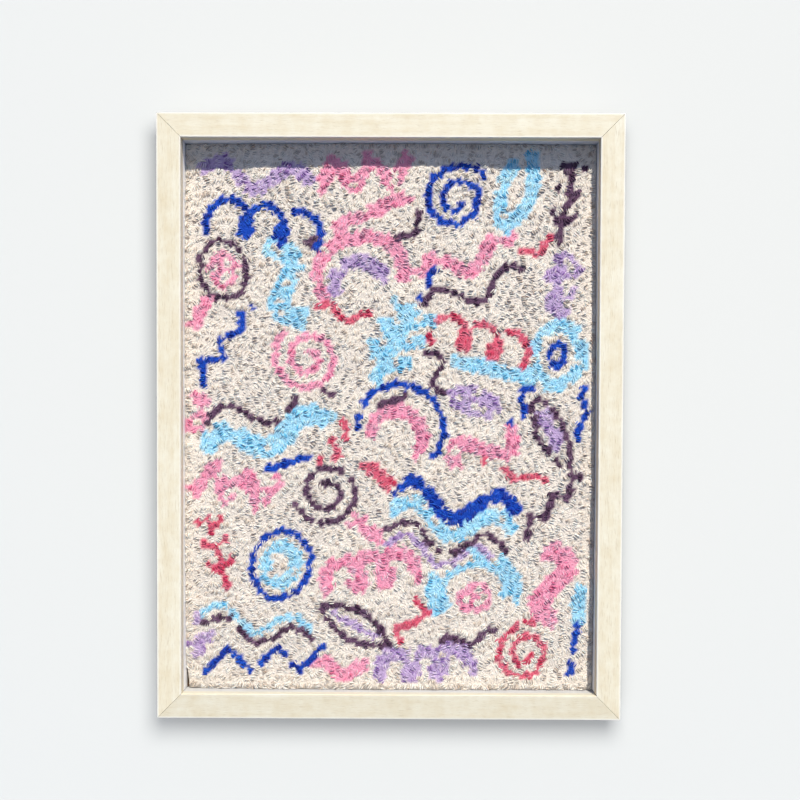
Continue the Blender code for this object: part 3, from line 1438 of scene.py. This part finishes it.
@dataclass
class YarnLoop:
    """Models a loop of slack yarn: a bundle of plies that arch over side by side, slanting.

    Each ply is a three-sided stick, thinner at its feet, that is bent over a line. It then gets a
    slip along the loop, a tilt, a splay and a stretch of its own, and a height that falls off
    towards the sides of the bundle by the crown and is a little uneven.
    """

    plies: int = 7
    sides: int = 3
    width: float = 0.0012
    thickness: float = 0.0012
    foot_share: float = 0.7
    half_span: float = 0.0020
    rise: float = 0.0010
    height: float = 0.0058
    shoulder: float = 0.0011
    pitch: float = 0.00095
    slant: float = 38.0
    crown: float = 0.05
    slip: float = 0.0005
    tilt: float = 0.06
    splay: float = 0.18
    stretch: float = 0.08
    uneven: float = 0.045
    leg_points: int = 6
    arch_points: int = 16
    uv_length: float = 0.01

    UV_NAME = "yarn"

    @property
    def leg(self) -> float:
        """The straight length of each leg."""
        return self.height - self.thickness / 2 - self.rise

    @property
    def rings(self) -> list[float]:
        """Works out how far along the stick its rings are.

        Returns:
            The places of the feet, the shoulders and the top.
        """
        arch = math.pi * math.hypot(self.half_span, self.rise) / math.sqrt(2)
        whole = 2 * self.leg + arch
        return [0.0, self.leg + self.shoulder, whole / 2, whole - self.leg - self.shoulder, whole]

    def build(self, rng: np.random.Generator) -> LoopShape:
        """Models one variant.

        Args:
            rng: The source of chance for how the plies lie.

        Returns:
            The loop's arrays.
        """
        first = self.ply()
        bundle = []
        for number in range(self.plies):
            ply = first.copy()
            ply.data = first.data.copy()
            bpy.context.scene.collection.objects.link(ply)
            marks = ply.data.attributes.new("ply", "INT", "POINT")
            marks.data.foreach_set("value", np.full(len(ply.data.vertices), number, np.int32))
            side = 2 * number / (self.plies - 1) - 1
            across = side * self.pitch * (self.plies - 1) / 2
            low = 1 - self.crown * side**2 + rng.normal(0, self.uneven)
            ply.location = (rng.normal(0, self.slip), across, 0.0)
            ply.rotation_euler = (rng.normal(0, self.tilt), 0.0, rng.normal(0, self.splay))
            ply.scale = (rng.normal(1, self.stretch), 1.0, low)
            Bench.settle(ply)
            bundle.append(ply)
        bpy.data.objects.remove(first)
        loop = Bench.join(bundle)
        loop.rotation_euler = (0.0, 0.0, math.radians(self.slant))
        Bench.settle(loop)
        shape = self.read(loop)
        bpy.data.objects.remove(loop)
        return shape

    def ply(self) -> bpy.types.Object:
        """Models one ply, standing over the middle of its loop.

        Returns:
            The ply.
        """
        Bench.clear()
        # Its section is one metre wide until each ring is brought to its own width
        ridge_out = (0.0, 0.0, -math.pi / 2)
        bpy.ops.mesh.primitive_circle_add(
            vertices=self.sides, radius=0.5, fill_type="NGON", rotation=ridge_out
        )
        piece = bpy.context.object
        Bench.settle(piece)
        corners = piece.data.attributes.new("corner", "INT", "POINT")
        corners.data.foreach_set("value", np.arange(self.sides, dtype=np.int32))
        Bench.edit(piece)
        bpy.ops.mesh.select_all(action="SELECT")
        for low, high in zip(self.rings, self.rings[1:]):
            bpy.ops.mesh.extrude_region_move(TRANSFORM_OT_translate={"value": (0, 0, high - low)})
        for number, height in enumerate(self.rings):
            share = self.foot_share if number in (0, len(self.rings) - 1) else 1.0
            near = self.half_span / 10
            Bench.pick(piece, "VERT", lambda ps, h=height: abs(ps[0].z - h) < near)
            wide = (self.thickness * share, self.width * share, 1.0)
            bpy.ops.transform.resize(value=wide, center_override=(0, 0, height))
        bpy.ops.mesh.select_all(action="SELECT")
        bpy.ops.mesh.normals_make_consistent(inside=False)
        Bench.done()
        self.lay_uvs(piece.data)
        guide = self.guide()
        Bench.apply(piece, "CURVE", object=guide, deform_axis="POS_Z")
        bpy.data.objects.remove(guide)
        return piece

    def lay_uvs(self, mesh: bpy.types.Mesh) -> None:
        """Gives the straight stick coordinates along it and round it, from its corner numbers.

        Args:
            mesh: The stick's mesh.
        """
        corner = np.zeros(len(mesh.vertices), np.int32)
        mesh.attributes["corner"].data.foreach_get("value", corner)
        layer = mesh.uv_layers.new(name=self.UV_NAME)
        for face in mesh.polygons:
            rounds = corner[list(face.vertices)].astype(float)
            if rounds.max() - rounds.min() == self.sides - 1:
                rounds[rounds == 0] = self.sides
            for number, turn in zip(face.loop_indices, rounds):
                height = mesh.vertices[mesh.loops[number].vertex_index].co.z
                layer.data[number].uv = (height / self.uv_length, turn / self.sides)

    def guide(self) -> bpy.types.Object:
        """Draws the line that a ply is bent along: up one leg, over the top and down the other.

        Returns:
            The line, as a curve.
        """
        shares = np.linspace(0, 1, self.leg_points, endpoint=False)
        line = [(-self.half_span, self.leg * share) for share in shares]
        for angle in np.linspace(math.pi, 0, self.arch_points):
            line.append((self.half_span * math.cos(angle), self.leg + self.rise * math.sin(angle)))
        line += [(self.half_span, self.leg * share) for share in shares[::-1]]
        curve = bpy.data.curves.new("guide", "CURVE")
        curve.dimensions = "3D"
        spline = curve.splines.new("POLY")
        spline.points.add(len(line) - 1)
        for point, (x, z) in zip(spline.points, line):
            point.co = (x, 0.0, z, 1.0)
        made = bpy.data.objects.new("guide", curve)
        bpy.context.scene.collection.objects.link(made)
        return made

    def read(self, piece: bpy.types.Object) -> LoopShape:
        """Reads the finished loop into arrays.

        Args:
            piece: The loop.

        Returns:
            Its arrays.
        """
        mesh = piece.data
        points = np.array([v.co for v in mesh.vertices])
        plies = np.zeros(len(points), np.int32)
        mesh.attributes["ply"].data.foreach_get("value", plies)
        faces = [tuple(face.vertices) for face in mesh.polygons]
        uvs = np.array([item.uv for item in mesh.uv_layers[self.UV_NAME].data])
        return LoopShape(points, plies, faces, uvs)


@dataclass
class LoopField:
    """The pile: a copy of a yarn loop on every stitch, joined into one mesh for each yarn.

    The tops follow the solid's face, with soft lumps, a height of each loop's own, a rolled rim and
    sides that stand proud. Near the cloth's edge the loops flare out over it, up to the overhang,
    and stay clear of the strips.
    """

    cloth: ClothShape
    stitches: Stitches
    ground_front: float
    foot_depth: float = 0.0004
    lumps: float = 0.0004
    own_height: float = 0.00025
    rim_width: float = 0.005
    rim_drop: float = 0.0002
    side_rise: float = 0.0014
    overhang: float = 0.0024
    flare: float = 0.0016
    clearance: float = 0.0003
    turn_spread: float = 0.60
    lean_spread: float = 0.10
    size: float = 1.06
    size_spread: float = 0.06
    fuzz: float = 0.42
    most_loops: int = 1050
    variants: int = 8
    longest_shift: float = 90.0
    seed: int = 8
    rng: np.random.Generator = field(init=False)
    fronts: Points = field(init=False)

    UV_NAME = YarnLoop.UV_NAME
    FADE_NAME = "fade"

    def __post_init__(self) -> None:
        """Starts the one source of chance for the loops, and settles their tops."""
        self.rng = np.random.default_rng(self.seed)
        self.fronts = self.tops()

    def build(self) -> list[bpy.types.Object]:
        """Makes the pile.

        Returns:
            One piece for each yarn, and several for the ground's.
        """
        rng = self.rng
        feet = self.ground_front + self.foot_depth
        model = YarnLoop(height=feet - float(np.median(self.fronts)))
        shapes = [model.build(rng) for _ in range(self.variants)]
        kinds = rng.integers(0, len(shapes), len(self.stitches))
        yarns = np.array([yarn.value for yarn in self.stitches.yarns])
        made = []
        for yarn in Yarn:
            chosen = np.flatnonzero(yarns == yarn.value)
            chosen = chosen[np.argsort(-self.stitches.places[chosen, 1], kind="stable")]
            material = DYES[yarn].material(yarn)
            parts = math.ceil(len(chosen) / self.most_loops)
            for number, group in enumerate(np.array_split(chosen, parts), 1):
                name = f"pile_{yarn.value}" + (f"_{number}" if parts > 1 else "")
                loops = []
                for stitch in group:
                    shape = shapes[kinds[stitch]]
                    stretch = (feet - self.fronts[stitch]) / model.height
                    loops.append((shape, self.placed(shape.points, stitch, stretch, feet)))
                piece = self.tuft(name, loops, DYES[yarn])
                made.append(hand_over(piece, Slot.YARN, material, "punched_cloth"))
        return made

    def tuft(self, name: str, loops: list[tuple[LoopShape, Points]], dye: YarnDye) -> bpy.types.Object:
        """Joins the loops of one yarn.

        Args:
            name: The new piece's name.
            loops: The shape of each loop, and its points in place.
            dye: The yarn's dye, for how much its colour varies.

        Returns:
            The piece.
        """
        rng = self.rng
        points, faces, uvs, fades = [], [], [], []
        first = 0
        for shape, placed in loops:
            points.append(placed)
            faces += [tuple(first + n for n in face) for face in shape.faces]
            uvs.append(shape.uvs + (rng.uniform(0, self.longest_shift), 0.0))
            own = rng.normal(dye.middle, dye.loop_spread)
            by_ply = own + rng.normal(0, dye.ply_spread, shape.plies.max() + 1)
            fades.append(by_ply[shape.plies])
            first += len(shape.points)
        mesh = bpy.data.meshes.new(name)
        mesh.from_pydata(np.concatenate(points), [], faces)
        mesh.update()
        mesh.shade_smooth()
        self.soften(mesh)
        layer = mesh.uv_layers.new(name=self.UV_NAME)
        layer.data.foreach_set("uv", np.concatenate(uvs).astype(np.float32).ravel())
        fade = mesh.attributes.new(self.FADE_NAME, "FLOAT", "POINT")
        fade.data.foreach_set("value", np.concatenate(fades).astype(np.float32))
        piece = bpy.data.objects.new(name, mesh)
        bpy.context.scene.collection.objects.link(piece)
        return piece

    def soften(self, mesh: bpy.types.Mesh) -> None:
        """Leans the normals to the front a little, since the wool's fuzz spreads the light.

        Args:
            mesh: The mesh of the loops.
        """
        normals = np.zeros(len(mesh.vertices) * 3, np.float32)
        mesh.vertex_normals.foreach_get("vector", normals)
        leaned = normals.reshape(-1, 3) * (1 - self.fuzz) + np.array([0.0, -self.fuzz, 0.0])
        leaned /= np.maximum(np.linalg.norm(leaned, axis=1), 1e-6)[:, None]
        mesh.normals_split_custom_set_from_vertices(leaned)

    def placed(self, points: Points, stitch: int, stretch: float, feet: float) -> Points:
        """Stands a loop on its stitch, with its own size, lean and turn.

        Args:
            points: The loop's points.
            stitch: The number of its stitch.
            stretch: How much taller it is than the model.
            feet: The Y of its feet.

        Returns:
            The points in place.
        """
        rng = self.rng
        place = self.stitches.places[stitch]
        angle = self.stitches.angles[stitch] + rng.normal(0, self.turn_spread)
        size = rng.normal(self.size, self.size_spread, 2)
        lean = rng.normal(0, self.lean_spread, 2)
        rise = points[:, 2] - points[:, 2].max() / 2
        x = points[:, 0] * size[0] + rise * lean[0]
        y = points[:, 1] * size[1] + rise * lean[1]
        cos, sin = math.cos(angle), math.sin(angle)
        turned = np.stack([x * cos - y * sin, x * sin + y * cos], axis=1)
        low, high = self.cloth.bounds(place[None])
        opening = self.cloth.opening
        wall = np.array([opening.half_width, opening.half_height]) - self.clearance
        to_high = np.clip(1 - (high[0] - place) / self.rim_width, 0, 1)
        outwards = to_high - np.clip(1 - (place - low[0]) / self.rim_width, 0, 1)
        share = (points[:, 2] / points[:, 2].max()) ** 2
        spots = np.clip(
            place + turned + self.flare * share[:, None] * outwards,
            np.maximum(low[0] - self.overhang, -wall),
            np.minimum(high[0] + self.overhang, wall),
        )
        middle, depth = opening.middle, feet - points[:, 2] * stretch
        return np.stack([middle.x + spots[:, 0], depth, middle.z + spots[:, 1]], axis=1)

    def tops(self) -> Points:
        """Settles how far forward each loop reaches.

        Returns:
            The Y of every loop's top.
        """
        places = self.stitches.places
        x, y = (places / MM).T
        # Soft lumps, about 50 mm long
        wave = np.sin(x / 9 + 2 * np.sin(y / 23)) * np.sin(y / 8 + 1.5 * np.sin(x / 19))
        low, high = self.cloth.bounds(places)
        inwards = np.minimum(places - low, high - places).min(axis=1)
        rim = np.maximum(0.0, 1 - inwards / self.rim_width)
        own = self.rng.normal(0, self.own_height, len(places))
        across, up = places[:, 0] / low[:, 0], places[:, 1] / low[:, 1]
        side = self.side_rise * across**4 * (1 - up**4)
        return self.cloth.front(places) - self.lumps * wave + self.rim_drop * rim - side - own


@dataclass
class YarnMass:
    """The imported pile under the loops' tops, where they press on each other and no gap is left.

    It lies a little below the tops, bulges up where no loop is near, and rolls back at the rim.
    """

    cloth: ClothShape
    stitches: Stitches
    fronts: Points
    ground_front: float
    pitch: float = 0.0026
    below_tops: float = 0.0009
    rim_width: float = 0.0030
    rim_drop: float = 0.0003
    overhang: float = 0.0023
    clearance: float = 0.0004
    loop_reach: float = 0.0020
    bulge: float = 0.0009
    unevenness: float = 0.0002
    seat: float = 0.0004
    smoothing: int = 3
    fibres: float = 640.0
    fibre_span: Span = (0.3, 0.7)
    tone_span: Span = (0.8, 1.1)
    relief: float = 0.0012

    DYE_NAME = "dye"

    def build(self) -> bpy.types.Object:
        """Models the mass: a grid in the cloth's outline, raised to the loops and closed at the back.

        Returns:
            The piece.
        """
        piece = cloth_grid("pile_mass", self.cloth, self.pitch)
        places = flat_places(piece, self.cloth)
        tree = tree_of(self.stitches.places)
        nearest = [tree.find_n((*place, 0.0), self.smoothing) for place in places]
        tops = np.array([np.mean([self.fronts[number] for _, number, _ in near]) for near in nearest])
        x, y = (places / MM).T
        # Small lumps, about 5 mm long
        wave = np.sin(x * 1.3 + 2 * np.sin(y / 3)) * np.sin(y * 1.1 + 2 * np.sin(x / 4))
        low, high = self.cloth.bounds(places)
        inwards = np.minimum(places - low, high - places).min(axis=1)
        rim = np.maximum(0.0, 1 - inwards / self.rim_width)
        between = np.clip(np.array([near[0][2] for near in nearest]) / self.loop_reach - 1, 0, 1)
        fronts = tops + self.below_tops + self.unevenness * wave + self.rim_drop * rim
        fronts -= self.bulge * between
        middle, opening = self.cloth.opening.middle, self.cloth.opening
        wall = np.array([opening.half_width, opening.half_height]) - self.clearance
        at_edge = self.pitch / 2
        outwards = (high - places < at_edge) * 1.0 - (places - low < at_edge)
        spread = places + self.overhang * outwards
        for point, front, (across, up) in zip(piece.data.vertices, fronts, np.clip(spread, -wall, wall)):
            point.co = (middle.x + across, front, middle.z + up)
        self.dye(piece.data, [near[0][1] for near in nearest])
        count = len(piece.data.vertices)
        Bench.apply(piece, "SOLIDIFY", thickness=MM, offset=-1.0)
        for point in piece.data.vertices[count:]:
            point.co.y = self.ground_front + self.seat
        piece.data.shade_smooth()
        return hand_over(piece, Slot.YARN, self.material(), "punched_cloth")

    def dye(self, mesh: bpy.types.Mesh, nearest: list[int]) -> None:
        """Gives each point the colour of the loop that stands nearest.

        Args:
            mesh: The mesh of the mass.
            nearest: For each point, the number of that loop's stitch.
        """
        layer = mesh.attributes.new(self.DYE_NAME, "FLOAT_COLOR", "POINT")
        for number, stitch in enumerate(nearest):
            dye = DYES[self.stitches.yarns[stitch]]
            colour = np.array(dye.main) * (1 - dye.middle) + np.array(dye.other) * dye.middle
            layer.data[number].color = (*colour, 1.0)

    def material(self) -> bpy.types.Material:
        """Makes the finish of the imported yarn.

        Returns:
            The material.
        """
        shader = Shader("yarn_mass", 0.95, Specular_IOR_Level=0.15, Sheen_Weight=0.1)
        dye = shader.attribute(self.DYE_NAME, "Color")
        fibres = shader.noise(shader.place([self.fibres] * 3), 1.0, 4.0, 0.65)
        low, high = self.tone_span
        tone = shader.span(fibres, *self.fibre_span) * (high - low) + low
        shader.colour(shader.scaled(dye, tone))
        shader.bump(fibres, self.relief)
        return shader.material


def cloth_grid(name: str, cloth: ClothShape, pitch: float) -> bpy.types.Object:
    """Models a flat upright grid that fills the cloth's outline.

    Args:
        name: The new piece's name.
        cloth: The cloth.
        pitch: The size of a cell.

    Returns:
        The grid, facing the front, at the cloth's back.
    """
    half = (cloth.opening.half_width, cloth.opening.half_height)
    middle = cloth.opening.middle
    Bench.clear()
    bpy.ops.mesh.primitive_grid_add(
        x_subdivisions=round(2 * half[0] / pitch),
        y_subdivisions=round(2 * half[1] / pitch),
        size=1.0,
        location=(middle.x, cloth.back, middle.z),
        rotation=(math.pi / 2, 0, 0),
    )
    piece = bpy.context.object
    piece.name = piece.data.name = name
    piece.scale = (2 * half[0], 2 * half[1], 1.0)
    Bench.settle(piece)
    places = flat_places(piece, cloth)
    low, high = cloth.bounds(places)
    share = (places + half) / (2 * np.array(half))
    for point, (across, up) in zip(piece.data.vertices, low + (high - low) * share):
        point.co.x, point.co.z = middle.x + across, middle.z + up
    return piece


def flat_places(piece: bpy.types.Object, cloth: ClothShape) -> Points:
    """Gives the places on the cloth of a piece's points.

    Args:
        piece: The piece.
        cloth: The cloth.

    Returns:
        The places, in the order of the points.
    """
    middle = cloth.opening.middle
    return np.array([(point.co.x - middle.x, point.co.z - middle.z) for point in piece.data.vertices])


@dataclass
class PunchedCloth:
    """The woven ground with its pile."""

    opening: Opening
    thickness: float = 0.0011
    pitch: float = 0.006
    waviness: float = 0.0001
    finish: GroundCloth = GroundCloth()

    def build(self) -> None:
        cloth = ClothShape(self.opening)
        stitches = StitchPlan(cloth).lay()
        LOG.info("%d loops", len(stitches))
        ground_front = cloth.back - self.thickness
        loops = LoopField(cloth, stitches, ground_front)
        pile = loops.build()
        pile.append(YarnMass(cloth, stitches, loops.fronts, ground_front).build())
        self.weave(cloth)
        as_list(pile)

    def weave(self, cloth: ClothShape) -> bpy.types.Object:
        """Models the ground cloth: a grid that is made a little wavy and given its thickness.

        Args:
            cloth: The cloth.

        Returns:
            The ground cloth.
        """
        piece = cloth_grid("woven_ground", cloth, self.pitch)
        for point in piece.data.vertices:
            x, z = point.co.x / MM, point.co.z / MM
            wave = 1 + math.sin(x / 13) * math.sin(z / 17)
            point.co.y -= self.waviness * wave
        Bench.apply(piece, "SOLIDIFY", thickness=self.thickness - 2 * self.waviness, offset=-1.0)
        piece.data.shade_smooth()
        return hand_over(piece, Slot.YARN, self.finish.material(), "punched_cloth")


@dataclass
class Studio:
    """The wall, the floor, the lights and the camera.

    The camera stands before the piece's middle, a little to the right of it and below. A sun lights
    the piece and the floor, a sky lights everything, and two lights of its own light the wall.
    """

    front: float = CAD_BOX[0].y
    camera_reach: float = 0.56
    camera_right: float = 0.0098
    camera_below: float = 0.0111
    pitch: float = -1.06
    yaw: float = 0.23
    roll: float = 0.22
    lens: float = 35.15
    shift_up: float = 0.06
    key_way: tuple[float, float, float] = (-0.165, 0.55, -0.81)
    key_power: float = 5.2
    key_colour: Colour = (1.0, 0.95, 0.87)
    key_width: float = 1.3
    sky_above: Colour = (0.39, 0.46, 0.65)
    sky_below: Colour = (0.10, 0.135, 0.22)
    seen_sky: Colour = (0.86, 0.88, 0.875)
    wall_colour: float = 0.15
    floor_colour: float = 0.45
    roughness: float = 0.9
    wall_gap: float = 0.0006
    wall_size: float = 7.0
    wall_light_at: tuple[float, float, float] = (0.083, -0.59, 0.195)
    wall_light_radius: float = 0.17
    wall_light_power: float = 57.7
    wall_light_share: float = 0.69
    wall_fill_way: tuple[float, float, float] = (0.1, 1.0, 0.12)
    wall_fill_power: float = 4.88
    wall_fill_width: float = 60.0
    wall_light_colour: Colour = (0.968, 0.977, 0.940)
    floor_drop: float = 0.75

    def build(self, middle: Vector) -> None:
        """Sets up the studio.

        Args:
            middle: The middle of the piece.
        """
        wall = self.plane("wall", Vector((0, self.wall_gap, middle.z)), (math.pi / 2, 0, 0))
        floor_z = CAD_BOX[0].z - self.floor_drop
        floor = self.plane("floor", Vector((0, -self.wall_size / 2, floor_z)), (0, 0, 0))
        wall.data.materials.append(self.one_sided("wall_paint", middle))
        floor.data.materials.append(self.plain("floor_paint"))
        for ground in (wall, floor):
            for rays in ("diffuse", "glossy", "transmission", "shadow"):
                setattr(ground, f"visible_{rays}", False)
        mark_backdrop(wall, floor)
        self.lights(middle, wall, floor)
        self.world()
        self.camera(middle)
        bpy.context.scene.view_settings.view_transform = "Standard"

    def plane(self, name: str, place: Vector, turn: Sequence[float]) -> bpy.types.Object:
        """Adds a large plane.

        Args:
            name: Its name.
            place: Its middle.
            turn: Its turn about X, Y and Z.

        Returns:
            The plane.
        """
        Bench.clear()
        bpy.ops.mesh.primitive_plane_add(size=self.wall_size, location=place, rotation=turn)
        made = bpy.context.object
        made.name = name
        return made

    def plain(self, name: str) -> bpy.types.Material:
        """Makes a plain matt paint of the floor's colour.

        Args:
            name: The name.

        Returns:
            The paint.
        """
        shader = Shader(name, self.roughness)
        shader.colour([self.floor_colour] * 3)
        return shader.material

    def one_sided(self, name: str, middle: Vector) -> bpy.types.Material:
        """Paint on a wall that isn't there for whoever stands behind it.

        It is darker where the wall's near light is stronger, so that the wall looks even.

        Args:
            name: The name.
            middle: The middle of the piece.

        Returns:
            The paint.
        """
        shader = Shader(name, self.roughness)
        light = middle + Vector(self.wall_light_at)
        off_light = shader.place((1, 1, 1), (-light.x, -(light.z - middle.z), 0))
        away = shader.node("ShaderNodeVectorMath", {"operation": "LENGTH"}, {0: off_light})
        slope = Wire(shader, away.outputs["Value"]) / abs(light.y)
        steepness = shader.maths("SQRT", slope * slope + 1.0)
        light_there = self.wall_light_share / (steepness * steepness * steepness)
        shader.colour(shader.maths("DIVIDE", self.wall_colour, light_there + (1 - self.wall_light_share)))
        behind = shader.node("ShaderNodeNewGeometry").outputs["Backfacing"]
        clear = shader.node("ShaderNodeBsdfTransparent").outputs[0]
        seen = shader.principled.outputs[0]
        both = shader.node("ShaderNodeMixShader", {}, {0: behind, 1: seen, 2: clear})
        shader.tree.links.new(both.outputs[0], shader.tree.nodes["Material Output"].inputs["Surface"])
        return shader.material

    def lights(self, middle: Vector, wall: bpy.types.Object, floor: bpy.types.Object) -> None:
        """Hangs a sun for the piece and the floor, and two soft lights of its own for the wall.

        Args:
            middle: The middle of the piece.
            wall: The wall.
            floor: The floor.
        """
        sun = bpy.data.lights.new("sun", "SUN")
        sun.energy = self.key_power
        sun.color = self.key_colour
        sun.angle = math.radians(self.key_width)
        way = Vector(self.key_way)
        self.hang(sun, middle - way, way, [*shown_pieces(), floor])
        near = bpy.data.lights.new("wall_light", "POINT")
        near.energy = self.wall_light_power
        near.color = self.wall_light_colour
        near.shadow_soft_size = self.wall_light_radius
        spot = Vector(self.wall_light_at)
        self.hang(near, middle + spot, -spot, [wall])
        fill = bpy.data.lights.new("wall_fill", "SUN")
        fill.energy = self.wall_fill_power
        fill.color = self.wall_light_colour
        fill.angle = math.radians(self.wall_fill_width)
        way = Vector(self.wall_fill_way)
        self.hang(fill, middle - way, way, [wall])

    @staticmethod
    def hang(
        light: bpy.types.Light, place: Vector, way: Vector, lit: Iterable[bpy.types.Object]
    ) -> None:
        """Hangs a light that shines on some things alone.

        Args:
            light: The light.
            place: Where it hangs.
            way: The way that it shines.
            lit: What it shines on.
        """
        made = bpy.data.objects.new(light.name, light)
        made.location = place
        made.rotation_euler = way.to_track_quat("-Z", "Y").to_euler()
        bpy.context.scene.collection.objects.link(made)
        group = bpy.data.collections.new(f"{light.name}_lit")
        for piece in lit:
            group.objects.link(piece)
        made.light_linking.receiver_collection = group

    def world(self) -> None:
        """Makes a pale sky: a bluish light that is stronger from above, nearly white where it is seen."""
        world = bpy.data.worlds.new("studio")
        bpy.context.scene.world = world
        world.use_nodes = True
        tree = world.node_tree
        tree.nodes.clear()
        light, seen = (tree.nodes.new("ShaderNodeBackground") for _ in range(2))
        seen.inputs["Color"].default_value = (*self.seen_sky, 1.0)
        split = tree.nodes.new("ShaderNodeSeparateXYZ")
        tree.links.new(tree.nodes.new("ShaderNodeTexCoord").outputs["Generated"], split.inputs[0])
        rise = tree.nodes.new("ShaderNodeMapRange")
        rise.inputs["From Min"].default_value = -1.0
        tree.links.new(split.outputs["Z"], rise.inputs["Value"])
        fade = tree.nodes.new("ShaderNodeMix")
        fade.data_type = "RGBA"
        tree.links.new(rise.outputs[0], fade.inputs["Factor"])
        ends = [socket for socket in fade.inputs if socket.type == "RGBA"]
        for socket, colour in zip(ends, (self.sky_below, self.sky_above)):
            socket.default_value = (*colour, 1.0)
        tree.links.new(next(s for s in fade.outputs if s.type == "RGBA"), light.inputs["Color"])
        path = tree.nodes.new("ShaderNodeLightPath")
        both = tree.nodes.new("ShaderNodeMixShader")
        output = tree.nodes.new("ShaderNodeOutputWorld")
        tree.links.new(path.outputs["Is Camera Ray"], both.inputs[0])
        tree.links.new(light.outputs[0], both.inputs[1])
        tree.links.new(seen.outputs[0], both.inputs[2])
        tree.links.new(both.outputs[0], output.inputs["Surface"])

    def camera(self, middle: Vector) -> None:
        """Stands the camera before the piece.

        Args:
            middle: The middle of the piece.
        """
        made = bpy.data.cameras.new("camera")
        made.lens = self.lens
        made.shift_y = self.shift_up
        holder = bpy.data.objects.new("camera", made)
        turned = (
            Matrix.Rotation(math.radians(self.yaw), 4, "Z")
            @ Matrix.Rotation(math.radians(90 + self.pitch), 4, "X")
            @ Matrix.Rotation(math.radians(self.roll), 4, "Z")
        )
        place = Vector((self.camera_right, self.front - self.camera_reach, middle.z - self.camera_below))
        holder.matrix_world = Matrix.Translation(place) @ turned
        bpy.context.scene.collection.objects.link(holder)
        bpy.context.scene.camera = holder


def write_sizes() -> None:
    """Works out the box of the solids and the box of what shows, but keeps neither."""
    boxes = {"cad": CAD_BOX, "visual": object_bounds()}
    {name: [list(corner) for corner in box] for name, box in boxes.items()}


def main() -> None:
    """Dresses the piece, from the frame inwards, and sets up the studio."""
    logging.basicConfig(level=logging.INFO, format="%(message)s")
    opening = Opening()
    BoxFrame(opening).build()
    Strips().build()
    Backing().build()
    PunchedCloth(opening).build()
    Studio().build(opening.middle)
    write_sizes()


if __name__ == "__main__":
    main()
